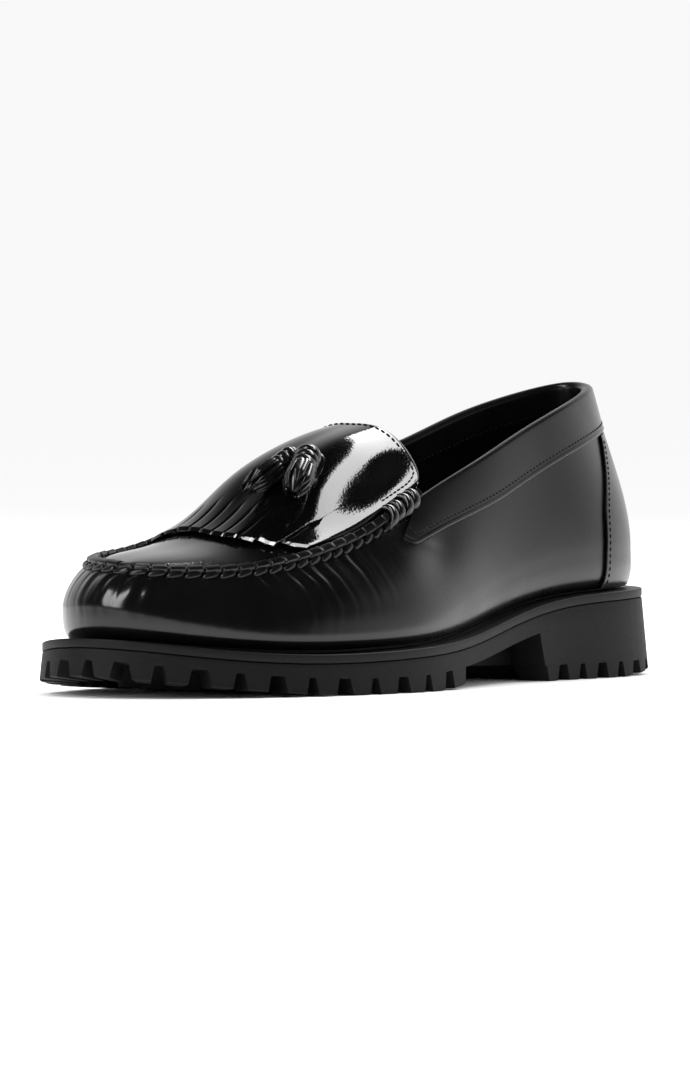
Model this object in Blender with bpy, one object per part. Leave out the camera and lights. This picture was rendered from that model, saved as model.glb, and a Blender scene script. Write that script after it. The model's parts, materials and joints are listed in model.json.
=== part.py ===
"""Tassel loafer for the left foot: moccasin upper, fringed kiltie, two tassels, lugged sole.

Sizes are in millimetres and become metres when a mesh is made.  Plan positions are given
as u, the distance from the back of the heel towards the toe, and y, which is negative on
the outer (lateral) side and positive on the inner (medial) side.  z is the height over the
floor.  The toe points along -X, and the origin is under the middle of the sole's box.
"""

import math

import bpy
import bmesh
import numpy as np

MM = 0.001

# Driving dimensions.
LENGTH = 300.0
GAP = 0.3
WALL = 1.8
MIDSOLE_THICK = 3.2
WEB_THICK = 9.4
LUG_HEIGHT = 5.6
LUG_DEPTH = 13.0
NOTCH_WIDE = 7.6
NOTCH_NARROW = 5.2
NOTCH_TAPER = 1.5
HEEL_PITCH = 12.4
FORE_PITCH = 13.6
LUG_QUICKEN = 0.15
TOE_NOTCH = 369.8
TOE_SPRING = 7.4
SPRING_START_U = 216.0
REAR_LIFT = 2.0
REAR_LIFT_RUN = 24.0
HEEL_BEVEL = 4.0
HEEL_BEVEL_RUN = 46.0
HEEL_BREAST_U = 92.0
TREAD_START_U = 158.0
HEEL_FLARE = 3.0
FORE_FLARE = 0.9
INSOLE_THICK = 2.6
INSOLE_CLEARANCE = 0.8
BAND_HEIGHT = 15.0
BAND_FRONT_TAPER = 3.5
BAND_THICK = 1.1
BAND_INNER_HEIGHT = 10.0
BAND_FRONT_REACH = 29.0
BAND_FRONT_GAP = 3.5
COUNTER_THICK = 1.2
COUNTER_GAP = 0.5
COUNTER_START = 0.02
RIDGE_HEIGHT = 2.4
RIDGE_WIDTH = 4.6
SEAM_FACE_TOE = 76.0
SEAM_FACE_THROAT = 42.0
TONGUE_BOW = 9.0
CROWN_SKEW = 1.14
CROWN_FULLNESS = 2.8
KILTIE_THICK = 1.5
KILTIE_GAP = 0.5
KILTIE_SIDE = 0.022
KILTIE_SPAN = 66.0
KILTIE_BACK = 0.995
KILTIE_ROWS = 8
VAMP_RUN = 130.0
STRIP_LENGTH = 18.0
STRIP_COUNT = 10
STRIP_SLIT = 0.7
STRIP_ROWS = 5
STRIP_LIFT = 0.8
WRAP_START = 0.86
WRAP_END = 0.965
WRAP_COILS = 4
WRAP_RADIUS = 3.0
WRAP_THICK = 1.3
WRAP_FROM = 28.0
WRAP_TO = 172.0
TASSEL_LENGTH = 25.0
TASSEL_RADIUS = 5.0
TASSEL_SIDES = 16
TASSEL_FLUTE = 0.84
TIE_LENGTH = 8.0
TIE_RADIUS = 1.8
TIE_PLACE = 0.812, 0.4

# Mesh steps of the upper: columns at the front of the seam and round the back, and rows.
FRONT_STEPS = 16
BACK_STEPS = 44
VAMP_COLUMNS = 14
WALL_ROWS = (0.0, 0.1, 0.24, 0.42, 0.62, 0.82)
BAND_ROWS = (0.0, 0.5, 1.0)
FRONT_ROWS_START = 0.66

# Front edge of the kiltie's fringe: u at shares of the way across from the outer side.
KILTIE_FRONT = {"across": (0.0, 0.05, 0.14, 0.25, 0.37, 0.5, 0.63, 0.76, 1.0),
                "u": (214.0, 223.0, 229.5, 232.0, 232.5, 231.0, 228.6, 227.0, 226.0)}

# Heel counter: how far it reaches round each side from the middle of the heel, by its height.
COUNTER = {"level": (0.0, 0.25, 0.55, 0.8, 1.0), "reach": (66.0, 64.5, 60.0, 47.5, 37.0)}

# Tassel from its head to its tip: share of the length, share of the radius, depth of the strips.
TASSEL = {"along": (0.0, 0.04, 0.12, 0.22, 0.26, 0.3, 0.34, 0.5, 0.75, 0.97, 1.0),
          "radius": (0.3, 0.5, 0.6, 0.6, 0.7, 0.7, 0.62, 0.84, 0.96, 1.0, 0.9),
          "strips": (0.0, 0.0, 0.0, 0.0, 0.0, 0.0, 0.6, 1.0, 1.0, 1.0, 1.0)}

# Head and tip of each tassel over the kiltie: share of the vamp from toe to throat, share across.
TASSEL_OUTER = (0.777, 0.35), (0.678, 0.24)
TASSEL_INNER = (0.777, 0.45), (0.662, 0.51)

# Tie bar: share of its length either way and share of its radius.
TIE = {"along": (-0.5, -0.46, -0.36, -0.1, 0.1, 0.36, 0.46, 0.5),
       "radius": (0.4, 0.75, 1.0, 1.0, 1.0, 1.0, 0.75, 0.4)}

# Lugs in the middle of the tread: place, length along the foot and width across it.
CENTRE_LUGS = {"u": (30.0, 54.0, 78.0, 172.0, 194.0, 216.0, 238.0, 260.0),
               "y": (0.0, 0.0, 0.0, -3.0, -2.0, -1.0, 1.0, 5.0),
               "long": (13.0, 13.0, 13.0, 12.0, 12.0, 12.0, 12.0, 11.0),
               "wide": (26.0, 34.0, 36.0, 48.0, 58.0, 62.0, 56.0, 38.0)}

# Sections round the shoe, from the back of the heel along the outer side to the toe and back
# along the inner side: the sole's edge in plan, how far inside it the upper meets the sole
# (feather) and is widest (bulge), the height of the widest line over the sole, the upper's top
# edge (topline at the back, moccasin seam at the front) and the upper's lean there in degrees.
SECTION_COLUMNS = ("edge_u", "edge_y", "feather", "bulge", "rise", "top_u", "top_y", "top_z", "lean")
SECTIONS = {
    "heel back": (0.0, 0.0, 7.5, 5.4, 15.0, 15.5, 1.5, 105.4, 10.0),
    "heel back outer": (9.0, -22.7, 7.5, 5.4, 15.0, 22.5, -9.5, 103.8, 12.0),
    "heel outer": (37.0, -35.6, 7.0, 4.6, 15.0, 48.0, -18.8, 98.2, 16.0),
    "waist outer": (75.0, -36.8, 6.0, 3.4, 15.0, 82.0, -23.0, 88.8, 16.0),
    "quarter outer": (112.0, -39.8, 6.5, 3.8, 14.0, 117.0, -27.0, 78.0, 22.0),
    "throat outer": (147.0, -47.6, 6.5, 4.0, 13.0, 153.0, -28.5, 66.0, 38.0),
    "ball outer": (187.0, -55.2, 6.5, 4.0, 12.0, 192.0, -31.0, 51.8, 52.0),
    "vamp outer": (226.0, -52.6, 7.0, 4.5, 12.0, 232.0, -29.5, 43.6, 60.0),
    "toe outer": (271.0, -34.2, 8.0, 5.5, 12.0, 264.0, -16.5, 40.8, 62.0),
    "toe tip": (300.0, 8.0, 9.5, 7.0, 12.0, 281.0, 8.0, 42.6, 62.0),
    "toe inner": (284.0, 38.0, 9.5, 7.0, 12.0, 267.0, 32.0, 44.0, 62.0),
    "vamp inner": (248.0, 52.2, 8.0, 5.5, 12.0, 235.0, 40.0, 46.4, 58.0),
    "ball inner": (205.0, 52.4, 7.0, 4.5, 12.0, 196.0, 39.5, 54.5, 50.0),
    "throat inner": (160.0, 41.8, 7.0, 4.5, 13.0, 153.0, 34.0, 67.6, 36.0),
    "quarter inner": (118.0, 35.6, 6.5, 4.0, 14.0, 117.0, 28.5, 77.4, 20.0),
    "waist inner": (78.0, 35.2, 6.0, 3.4, 15.0, 82.0, 25.0, 87.4, 14.0),
    "heel inner": (37.0, 35.8, 7.0, 4.6, 15.0, 48.5, 21.5, 97.2, 14.0),
    "heel back inner": (10.0, 23.4, 7.5, 5.4, 15.0, 22.0, 12.5, 103.8, 12.0),
}
NAMES = list(SECTIONS)
COLUMN = {name: i for i, name in enumerate(SECTION_COLUMNS)}
TABLE = np.array(list(SECTIONS.values()))

# Height of the sole's top face along the foot.
SOLE_TOP = {"u": (0, 40, 75, 100, 125, 150, 175, 200, 250, 275, 300),
            "z": (32.0, 31.0, 29.2, 25.8, 21.4, 17.8, 15.8, 14.8, 14.6, 16.6, 20.4)}

# Height of the vamp along its middle line, from the throat to the toe.
VAMP_RIDGE = {"u": (146, 165, 183, 200, 214, 226, 240, 256, 270, 281),
              "z": (91.8, 88.0, 81.6, 72.4, 62.2, 55.2, 50.6, 48.4, 46.8, 44.8)}


def spline(knots, values, at, period=None):
    """Cubic spline through values at knots, read at the places at: closed if it has a period."""
    knots = np.asarray(knots, float)
    values = np.asarray(values, float)
    at = np.asarray(at, float)
    if period is not None:
        knots = np.append(knots, knots[0] + period)
        values = np.concatenate([values, values[:1]])
        at = knots[0] + np.mod(at - knots[0], period)
    count = len(knots)
    step = np.diff(knots)
    slope = np.diff(values, axis=0) / step.reshape((-1,) + (1,) * (values.ndim - 1))
    system = np.zeros((count, count))
    right = np.zeros_like(values)
    for i in range(1, count - 1):
        system[i, i - 1:i + 2] = step[i - 1], 2 * (step[i - 1] + step[i]), step[i]
        right[i] = 6 * (slope[i] - slope[i - 1])
    if period is None:
        system[0, 0] = system[-1, -1] = 1.0
    else:
        system[0, [0, -1]] = 1.0, -1.0
        system[-1, [0, 1, -2, -1]] = 2 * step[0], step[0], step[-1], 2 * step[-1]
        right[-1] = 6 * (slope[0] - slope[-1])
    bend = np.linalg.solve(system, right.reshape(count, -1)).reshape(values.shape)
    i = np.clip(np.searchsorted(knots, at, side="right") - 1, 0, count - 2)
    wide = (-1,) + (1,) * (values.ndim - 1)
    h = step[i].reshape(wide)
    a = ((knots[i + 1] - at) / step[i]).reshape(wide)
    b = 1 - a
    curve = a * values[i] + b * values[i + 1]
    return curve + ((a ** 3 - a) * bend[i] + (b ** 3 - b) * bend[i + 1]) * h ** 2 / 6


def unit(vectors):
    return vectors / np.linalg.norm(vectors, axis=-1, keepdims=True)


def section_places():
    """Where each section lies round the sole's edge, as a share of the whole way round."""
    edge = TABLE[:, :2]
    chords = np.linalg.norm(np.roll(edge, -1, axis=0) - edge, axis=1)
    return np.concatenate([[0.0], np.cumsum(chords)[:-1]]) / chords.sum()


PLACES = section_places()


def place(name):
    return PLACES[NAMES.index(name)]


def ring(at):
    """The section table read at places round the shoe."""
    return spline(PLACES, TABLE, at, period=1.0)


def outline(at, inset=0.0):
    """Plan points u, y of the sole's edge, moved inwards by inset."""
    at = np.asarray(at, float)
    small = 1e-4
    along = unit(ring(at + small)[:, :2] - ring(at - small)[:, :2])
    inward = np.stack([-along[:, 1], along[:, 0]], axis=1)
    return ring(at)[:, :2] + inward * np.reshape(inset, (-1, 1))


def sole_top(u):
    return spline(SOLE_TOP["u"], SOLE_TOP["z"], np.clip(u, 0, LENGTH))


def tread_floor(u):
    """Height of the lugs' feet: flat under heel and ball, lifting towards the toe."""
    u = np.asarray(u, float)
    spring = np.clip((u - SPRING_START_U) / (LENGTH - SPRING_START_U), 0, None)
    rear = np.clip((TREAD_START_U + REAR_LIFT_RUN - u) / REAR_LIFT_RUN, 0, 1) * (u > HEEL_BREAST_U + 10)
    heel = np.clip((HEEL_BEVEL_RUN - u) / HEEL_BEVEL_RUN, 0, None)
    return TOE_SPRING * spring ** 2 + REAR_LIFT * rear ** 2 + HEEL_BEVEL * heel ** 1.8


def web_floor(u):
    """Height of the sole's underside between the lugs."""
    return np.maximum(sole_top(u) - WEB_THICK, tread_floor(u) + LUG_HEIGHT)


def hermite(start, end, leave, arrive, t):
    return ((2 * t ** 3 - 3 * t ** 2 + 1) * start + (t ** 3 - 2 * t ** 2 + t) * leave
            + (3 * t ** 2 - 2 * t ** 3) * end + (t ** 3 - t ** 2) * arrive)


def wall_profile(at, steps=24):
    """The upper's outer side at each place, from the sole up to its top edge: (place, step, 3)."""
    rows = ring(at)
    feather = outline(at, rows[:, COLUMN["feather"]])
    widest = outline(at, rows[:, COLUMN["bulge"]])
    rest = sole_top(feather[:, 0])
    foot = np.column_stack([feather, rest + GAP])
    belly = np.column_stack([widest, rest + rows[:, COLUMN["rise"]]])
    top = rows[:, COLUMN["top_u"]:COLUMN["top_z"] + 1]
    up = np.array([0.0, 0.0, 1.0])
    inward = top - belly
    inward[:, 2] = 0
    inward = unit(inward)
    lean = np.radians(rows[:, COLUMN["lean"]])[:, None]
    low = np.linalg.norm(belly - foot, axis=1)[:, None]
    high = np.linalg.norm(top - belly, axis=1)[:, None]
    t = np.linspace(0, 1, steps + 1)
    outward = unit(belly - foot) - 0.5 * inward
    below = [hermite(foot, belly, outward * low, up * low * 1.1, s) for s in t]
    arrive = (np.cos(lean) * up + np.sin(lean) * inward) * high
    above = [hermite(belly, top, up * high, arrive, s) for s in t[1:]]
    return np.stack(below + above, axis=1)


def along_profile(profile, share):
    """Points at these shares (place, row) of each profile's length."""
    lengths = np.linalg.norm(np.diff(profile, axis=1), axis=2)
    run = np.concatenate([np.zeros((len(profile), 1)), np.cumsum(lengths, axis=1)], axis=1)
    run /= run[:, -1:]
    return np.stack([
        np.column_stack([np.interp(s, r, p[:, k]) for k in range(3)])
        for s, r, p in zip(share, run, profile)
    ])


def profile_length(profile):
    return np.linalg.norm(np.diff(profile, axis=1), axis=2).sum(axis=1)


def wall_points(at, share):
    """Points of the upper's outer side at places (n) and shares of its height (n, rows)."""
    return along_profile(wall_profile(at), share)


def wall_normals(at, share):
    """Outward directions of the upper's side."""
    small = 0.002
    round_about = wall_points(at + small, share) - wall_points(at - small, share)
    upward = (wall_points(at, np.minimum(share + small, 1.0))
              - wall_points(at, np.maximum(share - small, 0.0)))
    return unit(np.cross(round_about, upward))


def band_share(at):
    """Share of the wall's height where the collar band starts."""
    return 1 - BAND_HEIGHT / profile_length(wall_profile(at))


def seam_frame(t, inner):
    """Edge, sideways and outward directions of the moccasin seam, from toe tip (0) to throat (1)."""
    tip = place("toe tip")
    end = place("throat inner") if inner else place("throat outer")
    top = slice(COLUMN["top_u"], COLUMN["top_z"] + 1)
    at = tip + (end - tip) * t
    small = 2e-3
    along = ring(at + small)[:, top] - ring(at - small)[:, top]
    inward = unit(np.stack([-along[:, 1], along[:, 0], np.zeros(len(at))], axis=1))
    face = np.radians(SEAM_FACE_TOE + (SEAM_FACE_THROAT - SEAM_FACE_TOE) * t ** 1.5)[:, None]
    up = np.array([0.0, 0.0, 1.0])
    side = inward * np.sin(face) + up * np.cos(face)
    out = up * np.sin(face) - inward * np.cos(face)
    return ring(at)[:, top], side, out


def vamp_points(t, across):
    """Points of the vamp: t from the toe's tip (0) to the throat (1), across from outer to inner."""
    edge, side, _ = seam_frame(t, False)
    outer = edge + side * RIDGE_WIDTH
    edge, side, _ = seam_frame(t, True)
    inner = edge + side * RIDGE_WIDTH
    middle = (outer + inner) / 2
    crown = spline(VAMP_RIDGE["u"], VAMP_RIDGE["z"], middle[:, 0]) - middle[:, 2]
    crown = np.maximum(crown, 0.0)
    w = across[:, None]
    points = outer * (1 - w) + inner * w
    points[:, 2] += crown * (1 - np.abs(2 * across ** CROWN_SKEW - 1) ** CROWN_FULLNESS)
    late = np.clip((t - 0.7) / 0.3, 0, 1)
    side = np.abs(2 * across - 1)
    bow = (1 - side ** 8) * (0.7 + 0.3 * side ** 2)
    points[:, 0] -= TONGUE_BOW * bow * late ** 2 * (3 - 2 * late)
    return points


def vamp_normals(t, across):
    small = 0.004
    t_low, t_high = np.maximum(t - small, 0.02), np.minimum(t + small, 1.0)
    a_low, a_high = np.maximum(across - small, 0.0), np.minimum(across + small, 1.0)
    backward = vamp_points(t_high, across) - vamp_points(t_low, across)
    sideways = vamp_points(t, a_high) - vamp_points(t, a_low)
    return unit(np.cross(sideways, backward))


def sole_edge(at, drop):
    """Plan points of the sole's side: drop is 0 at its top and 1 at the floor, where it flares."""
    u = ring(at)[:, 0]
    heel = np.clip((HEEL_BREAST_U - u) / HEEL_BREAST_U, 0, 1) ** 2
    flare = FORE_FLARE + (HEEL_FLARE - FORE_FLARE) * heel
    return outline(at, -flare * drop)


EDGE_STEPS = 84
AROUND = np.arange(EDGE_STEPS) / EDGE_STEPS
FLOOR_BOX = sole_edge(AROUND, 1.0)
MIDDLE = (FLOOR_BOX.min(axis=0) + FLOOR_BOX.max(axis=0)) / 2
PERIMETER = np.linalg.norm(np.diff(outline(np.append(AROUND, 1.0)), axis=0), axis=1).sum()


def to_metres(points):
    """World coordinates in metres of points given as u, y, z in millimetres."""
    points = np.asarray(points, float).reshape(-1, 3)
    return np.column_stack([MIDDLE[0] - points[:, 0], points[:, 1] - MIDDLE[1], points[:, 2]]) * MM


def make_material(name, colour, roughness):
    material = bpy.data.materials.new(name)
    material.use_nodes = True
    shader = material.node_tree.nodes["Principled BSDF"]
    shader.inputs["Base Color"].default_value = (*colour, 1.0)
    shader.inputs["Roughness"].default_value = roughness
    shader.inputs["Metallic"].default_value = 0.0
    return material


def make_object(name, points, faces, material):
    """A mesh object from points in millimetres, its faces turned outwards."""
    mesh = bpy.data.meshes.new(name)
    mesh.from_pydata(to_metres(points).tolist(), [], [list(map(int, f)) for f in faces])
    shape = bmesh.new()
    shape.from_mesh(mesh)
    bmesh.ops.recalc_face_normals(shape, faces=shape.faces)
    shape.to_mesh(mesh)
    shape.free()
    mesh.materials.append(material)
    mesh.shade_smooth()
    mesh.set_sharp_from_angle(angle=math.radians(40))
    made = bpy.data.objects.new(name, mesh)
    bpy.context.scene.collection.objects.link(made)
    return made


def grid_faces(rows, columns, first=0, closed=False):
    """Quads of a grid of points stored row by row; closed joins the last column to the first."""
    faces = []
    for r in range(rows - 1):
        for c in range(columns if closed else columns - 1):
            d = (c + 1) % columns
            a = first + r * columns
            faces.append((a + c, a + d, a + columns + d, a + columns + c))
    return faces


def ladder_faces(count, first, turn):
    """Cap of a closed ring of points, as rungs between its two sides; turn is its first pair's shift."""
    faces = []
    for k in range((count + turn) // 2):
        corners = (k, k + 1, (count - turn - k) % count, (count + 1 - turn - k) % count)
        face = tuple(dict.fromkeys(first + c for c in corners))
        if len(face) > 2:
            faces.append(face)
    return faces


def plate(name, rings, material, turn=1):
    """A closed solid through rings of points, the first at the bottom and the last at the top."""
    count = len(rings[0])
    faces = ladder_faces(count, 0, turn) + ladder_faces(count, (len(rings) - 1) * count, turn)
    faces += grid_faces(len(rings), count, closed=True)
    return make_object(name, np.concatenate(rings), faces, material)


def prisms(name, pairs, material):
    """One mesh of separate closed blocks, each between a lower and an upper loop of points."""
    points, faces = [], []
    for low, high in pairs:
        first, count = len(points), len(low)
        points += list(low) + list(high)
        faces += grid_faces(2, count, first, closed=True)
        faces += [tuple(range(first, first + count)), tuple(range(first + count, first + 2 * count))]
    return make_object(name, np.array(points), faces, material)


def swept(name, loops, material):
    """A closed solid swept through equal closed loops of points, with flat ends."""
    count = len(loops[0])
    last = (len(loops) - 1) * count
    faces = grid_faces(len(loops), count, closed=True)
    faces += [tuple(range(count)), tuple(range(last, last + count))]
    return make_object(name, np.concatenate(loops), faces, material)


def thick_skin(name, inner, outer, faces, material):
    """A closed solid between two skins with the same faces, joined round their open edges."""
    count = len(inner)
    edges = {}
    for face in faces:
        for a, b in zip(face, face[1:] + face[:1]):
            edges[frozenset((a, b))] = None if frozenset((a, b)) in edges else (a, b)
    rim = [(b, a, a + count, b + count) for a, b in filter(None, edges.values())]
    under = [tuple(c + count for c in face[::-1]) for face in faces]
    return make_object(name, np.concatenate([outer, inner]), list(faces) + under + rim, material)


def join(target, other):
    """Fuse other into target and keep it only as a hidden cutter."""
    fuse = target.modifiers.new("fuse " + other.name, "BOOLEAN")
    fuse.operation = "UNION"
    fuse.solver = "EXACT"
    fuse.object = other
    other.hide_render = True
    other.display_type = "WIRE"


def upper_places():
    """Places of the upper's columns: tip to outer throat, round the heel, and back to the tip."""
    tip, outer, inner = place("toe tip"), place("throat outer"), place("throat inner")
    front_outer = np.linspace(tip, outer, FRONT_STEPS + 1)[:-1]
    back = np.linspace(outer, inner - 1.0, BACK_STEPS + 1)[:-1]
    front_inner = np.linspace(inner - 1.0, tip - 1.0, FRONT_STEPS + 1)[:-1]
    return np.concatenate([front_outer, back, front_inner])


def wall_shares(at):
    """Shares of the wall's height for the upper's rows, with rows along the collar band."""
    start = np.maximum(band_share(at), FRONT_ROWS_START)[:, None]
    below = start * np.array(WALL_ROWS)[None, :]
    band = start + (1 - start) * np.array(BAND_ROWS)[None, :]
    return np.concatenate([below, band], axis=1)


def build_upper(material):
    """Wall round the foot and vamp on top of it in one skin, with the raised moccasin seam."""
    at = upper_places()
    count = len(at)
    wall = wall_points(at, wall_shares(at))
    rows = wall.shape[1]
    points = list(np.swapaxes(wall, 0, 1).reshape(-1, 3))
    faces = grid_faces(rows, count, closed=True)
    edge_row = (rows - 1) * count
    steps = np.arange(FRONT_STEPS + 1) / FRONT_STEPS

    # The seam's crest and inner foot stand beside the wall's top edge, from the tip to the throat.
    chains = {}
    for inner in (False, True):
        edge, side, out = seam_frame(steps, inner)
        crest = edge + side * RIDGE_WIDTH / 2 + out * RIDGE_HEIGHT
        foot = edge + side * RIDGE_WIDTH
        top = [edge_row + (-k % count if inner else k) for k in range(FRONT_STEPS + 1)]
        crests = list(range(len(points), len(points) + len(steps)))
        points += list(crest)
        feet = list(range(len(points), len(points) + len(steps)))
        points += list(foot)
        if inner:
            crests[0], feet[0] = chains[False][0][0], chains[False][1][0]
        chains[inner] = crests, feet
        for k in range(FRONT_STEPS):
            faces.append((top[k], top[k + 1], crests[k + 1], crests[k]))
            faces.append((crests[k], crests[k + 1], feet[k + 1], feet[k]))

    # The vamp spans the two inner feet of the seam.
    across = np.linspace(0, 1, VAMP_COLUMNS + 1)
    vamp = [[chains[False][1][0]] * (VAMP_COLUMNS + 1)]
    for k in range(1, FRONT_STEPS + 1):
        middle = list(range(len(points), len(points) + VAMP_COLUMNS - 1))
        points += list(vamp_points(np.full(VAMP_COLUMNS - 1, steps[k]), across[1:-1]))
        vamp.append([chains[False][1][k]] + middle + [chains[True][1][k]])
    for k in range(FRONT_STEPS):
        for c in range(VAMP_COLUMNS):
            corners = (vamp[k][c], vamp[k][c + 1], vamp[k + 1][c + 1], vamp[k + 1][c])
            faces.append(tuple(dict.fromkeys(corners)))
    used = sorted({c for face in faces for c in face})
    number = {old: new for new, old in enumerate(used)}
    faces = [tuple(number[c] for c in face) for face in faces]
    upper = make_object("upper", np.array(points)[used], faces, material)
    wall = upper.modifiers.new("wall", "SOLIDIFY")
    wall.thickness = WALL * MM
    wall.offset = -1.0
    wall.use_even_offset = True
    return upper


def build_collar_band(material):
    """Folded band over the collar: outer flange, rolled top and short inner flange."""
    at = np.linspace(place("throat outer"), place("throat inner") - 1.0, BACK_STEPS + 1)
    at[[0, -1]] += np.array([-1.0, 1.0]) * BAND_FRONT_GAP / PERIMETER
    reach = np.zeros(len(at))
    reach[:6] = BAND_FRONT_REACH * np.array([1.0, 0.8, 0.58, 0.36, 0.16, 0.04])
    reach[-6:] = -reach[:6][::-1]
    start = band_share(at)
    inner_start = 1 - (1 - start) * BAND_INNER_HEIGHT / BAND_HEIGHT
    start = 1 - (1 - start) * (1 - BAND_FRONT_TAPER / BAND_HEIGHT * np.abs(reach) / BAND_FRONT_REACH)
    full = np.ones(len(at))
    middle = (1 + start) / 2
    rows = {"low": (start, 1.0), "mid": (middle, 0.72), "inner": (inner_start, 0.0), "top": (full, 0.0)}
    spot, out = {}, {}
    for name, (share, shift) in rows.items():
        moved = at + reach * shift / PERIMETER
        spot[name] = wall_points(moved, share[:, None])[:, 0]
        out[name] = wall_normals(moved, share[:, None])[:, 0]
    up = unit(spot["top"] - wall_points(at, full[:, None] * 0.97)[:, 0])
    under, over = GAP, GAP + BAND_THICK
    back, far = -WALL - GAP, -WALL - GAP - BAND_THICK
    top, rise = spot["top"], out["top"]
    loop = [
        spot["low"] + out["low"] * under,
        spot["mid"] + out["mid"] * under,
        top + rise * under + up * GAP,
        top + rise * back + up * GAP,
        spot["inner"] + out["inner"] * back,
        spot["inner"] + out["inner"] * far,
        top + rise * (far + 0.2) + up * GAP,
        top + rise * (back + 0.3) + up * over * 0.9,
        top - rise * WALL / 2 + up * (over + 0.2),
        top + rise * (under - 0.3) + up * over * 0.9,
        top + rise * (over - 0.2) + up * GAP,
        spot["mid"] + out["mid"] * over,
        spot["low"] + out["low"] * over,
    ]
    return swept("collar_band", list(np.stack(loop, axis=1)), material)


def build_heel_counter(material):
    """Leather cap round the back of the heel, under the collar band."""
    rows, columns = 9, 23
    level = np.linspace(0, 1, rows)
    spread = np.linspace(-1, 1, columns)
    half = spline(COUNTER["level"], COUNTER["reach"], level) / PERIMETER
    at = (half[:, None] * spread[None, :]).ravel()
    share = (COUNTER_START + (band_share(at) - 0.012 - COUNTER_START) * np.repeat(level, columns))[:, None]
    skin = wall_points(at, share)[:, 0]
    out = wall_normals(at, share)[:, 0]
    inner = skin + out * COUNTER_GAP
    outer = skin + out * (COUNTER_GAP + COUNTER_THICK)
    return thick_skin("heel_counter", inner, outer, grid_faces(rows, columns), material)


def kiltie_front(across):
    """Share t of the vamp where the fringe ends, read from the table of its front edge."""
    ends = np.interp(across, KILTIE_FRONT["across"], KILTIE_FRONT["u"])
    t = np.linspace(0.05, 0.9, 120)
    found = []
    for w, u in zip(across, ends):
        line = vamp_points(t, np.full(len(t), w))[:, 0]
        found.append(np.interp(-u, -line, t))
    return np.array(found)


def build_kiltie(material):
    """Flap on the vamp with a rounded tongue end at the back and a fringe of cut strips in front."""
    edges = np.linspace(KILTIE_SIDE, 1 - KILTIE_SIDE, STRIP_COUNT + 1)
    slit = STRIP_SLIT / KILTIE_SPAN / 2
    columns = sorted([edges[0], edges[-1]] + [e + s for e in edges[1:-1] for s in (-slit, slit)])
    columns = np.array(columns)
    front = kiltie_front(columns)
    root = front + STRIP_LENGTH / VAMP_RUN
    body = np.linspace(1.0, 0.0, KILTIE_ROWS)[:, None]
    strip = np.linspace(0.0, 1.0, STRIP_ROWS)[1:, None]
    t = np.concatenate([root + (KILTIE_BACK - root) * body, root + (front - root) * strip])
    lift = np.concatenate([body * 0, strip ** 2 * STRIP_LIFT]) * np.ones_like(t)
    across = np.broadcast_to(columns, t.shape)
    skin = vamp_points(t.ravel(), across.ravel())
    out = vamp_normals(t.ravel(), across.ravel())
    height = (KILTIE_GAP + lift.ravel())[:, None]
    faces = []
    for face in grid_faces(len(t), len(columns)):
        row, column = divmod(face[0], len(columns))
        if row < KILTIE_ROWS - 1 or column % 2 == 0:
            faces.append(face)
    return thick_skin("kiltie", skin + out * height, skin + out * (height + KILTIE_THICK), faces, material)


def build_lace_wrap(name, inner, material):
    """Coils of lace wound over the end of the moccasin seam at the throat."""
    t = np.linspace(WRAP_START, WRAP_END, WRAP_COILS * 3 + 1)
    edge, side, out = seam_frame(t, inner)
    centre = edge + side * RIDGE_WIDTH / 2
    turn = np.radians(np.linspace(WRAP_FROM, WRAP_TO, 6))
    coil = WRAP_RADIUS + WRAP_THICK * (0.62 + 0.38 * np.abs(np.sin(np.arange(len(t)) * np.pi / 3)))
    loops = []
    for c, s, o, r in zip(centre, side, out, coil):
        arc = np.cos(turn)[:, None] * s + np.sin(turn)[:, None] * o
        loops.append(np.concatenate([c + arc * WRAP_RADIUS, (c + arc * r)[::-1]]))
    return swept(name, loops, material)


def lie_on_kiltie(points, lowest):
    """Lift points along the kiltie's facing until the nearest is at this clearance over it."""
    grid = np.linspace(0.3, 0.99, 50), np.linspace(0.05, 0.95, 50)
    t, across = (g.ravel() for g in np.meshgrid(*grid))
    top = vamp_points(t, across) + vamp_normals(t, across) * (KILTIE_GAP + KILTIE_THICK)
    facing = vamp_normals(t, across)
    nearest = np.argmin(np.linalg.norm(points[:, None] - top[None], axis=2), axis=1)
    height = np.sum((points - top[nearest]) * facing[nearest], axis=1)
    return points + unit(facing[nearest].mean(axis=0)) * (lowest - height.min())


def build_tassel(name, head, tip, material):
    """Tassel with a wrapped head and a skirt of strips, from its head towards its tip over the kiltie."""
    ends = vamp_points(np.array([head[0], tip[0]]), np.array([head[1], tip[1]]))
    axis = unit(ends[1] - ends[0])
    out = vamp_normals(np.array([head[0]]), np.array([head[1]]))[0]
    across = unit(np.cross(axis, out))
    out = np.cross(across, axis)
    turn = np.arange(TASSEL_SIDES) * 2 * np.pi / TASSEL_SIDES
    flute = np.where(np.arange(TASSEL_SIDES) % 2 == 0, 1.0, TASSEL_FLUTE)
    loops = []
    for along, radius, strips in zip(TASSEL["along"], TASSEL["radius"], TASSEL["strips"]):
        r = TASSEL_RADIUS * radius * (1 + (flute - 1) * strips)
        spoke = np.cos(turn)[:, None] * across + np.sin(turn)[:, None] * out
        loops.append(ends[0] + axis * TASSEL_LENGTH * along + spoke * r[:, None])
    count = len(loops)
    points = lie_on_kiltie(np.concatenate(loops), GAP)
    return swept(name, list(points.reshape(count, TASSEL_SIDES, 3)), material)


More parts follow.
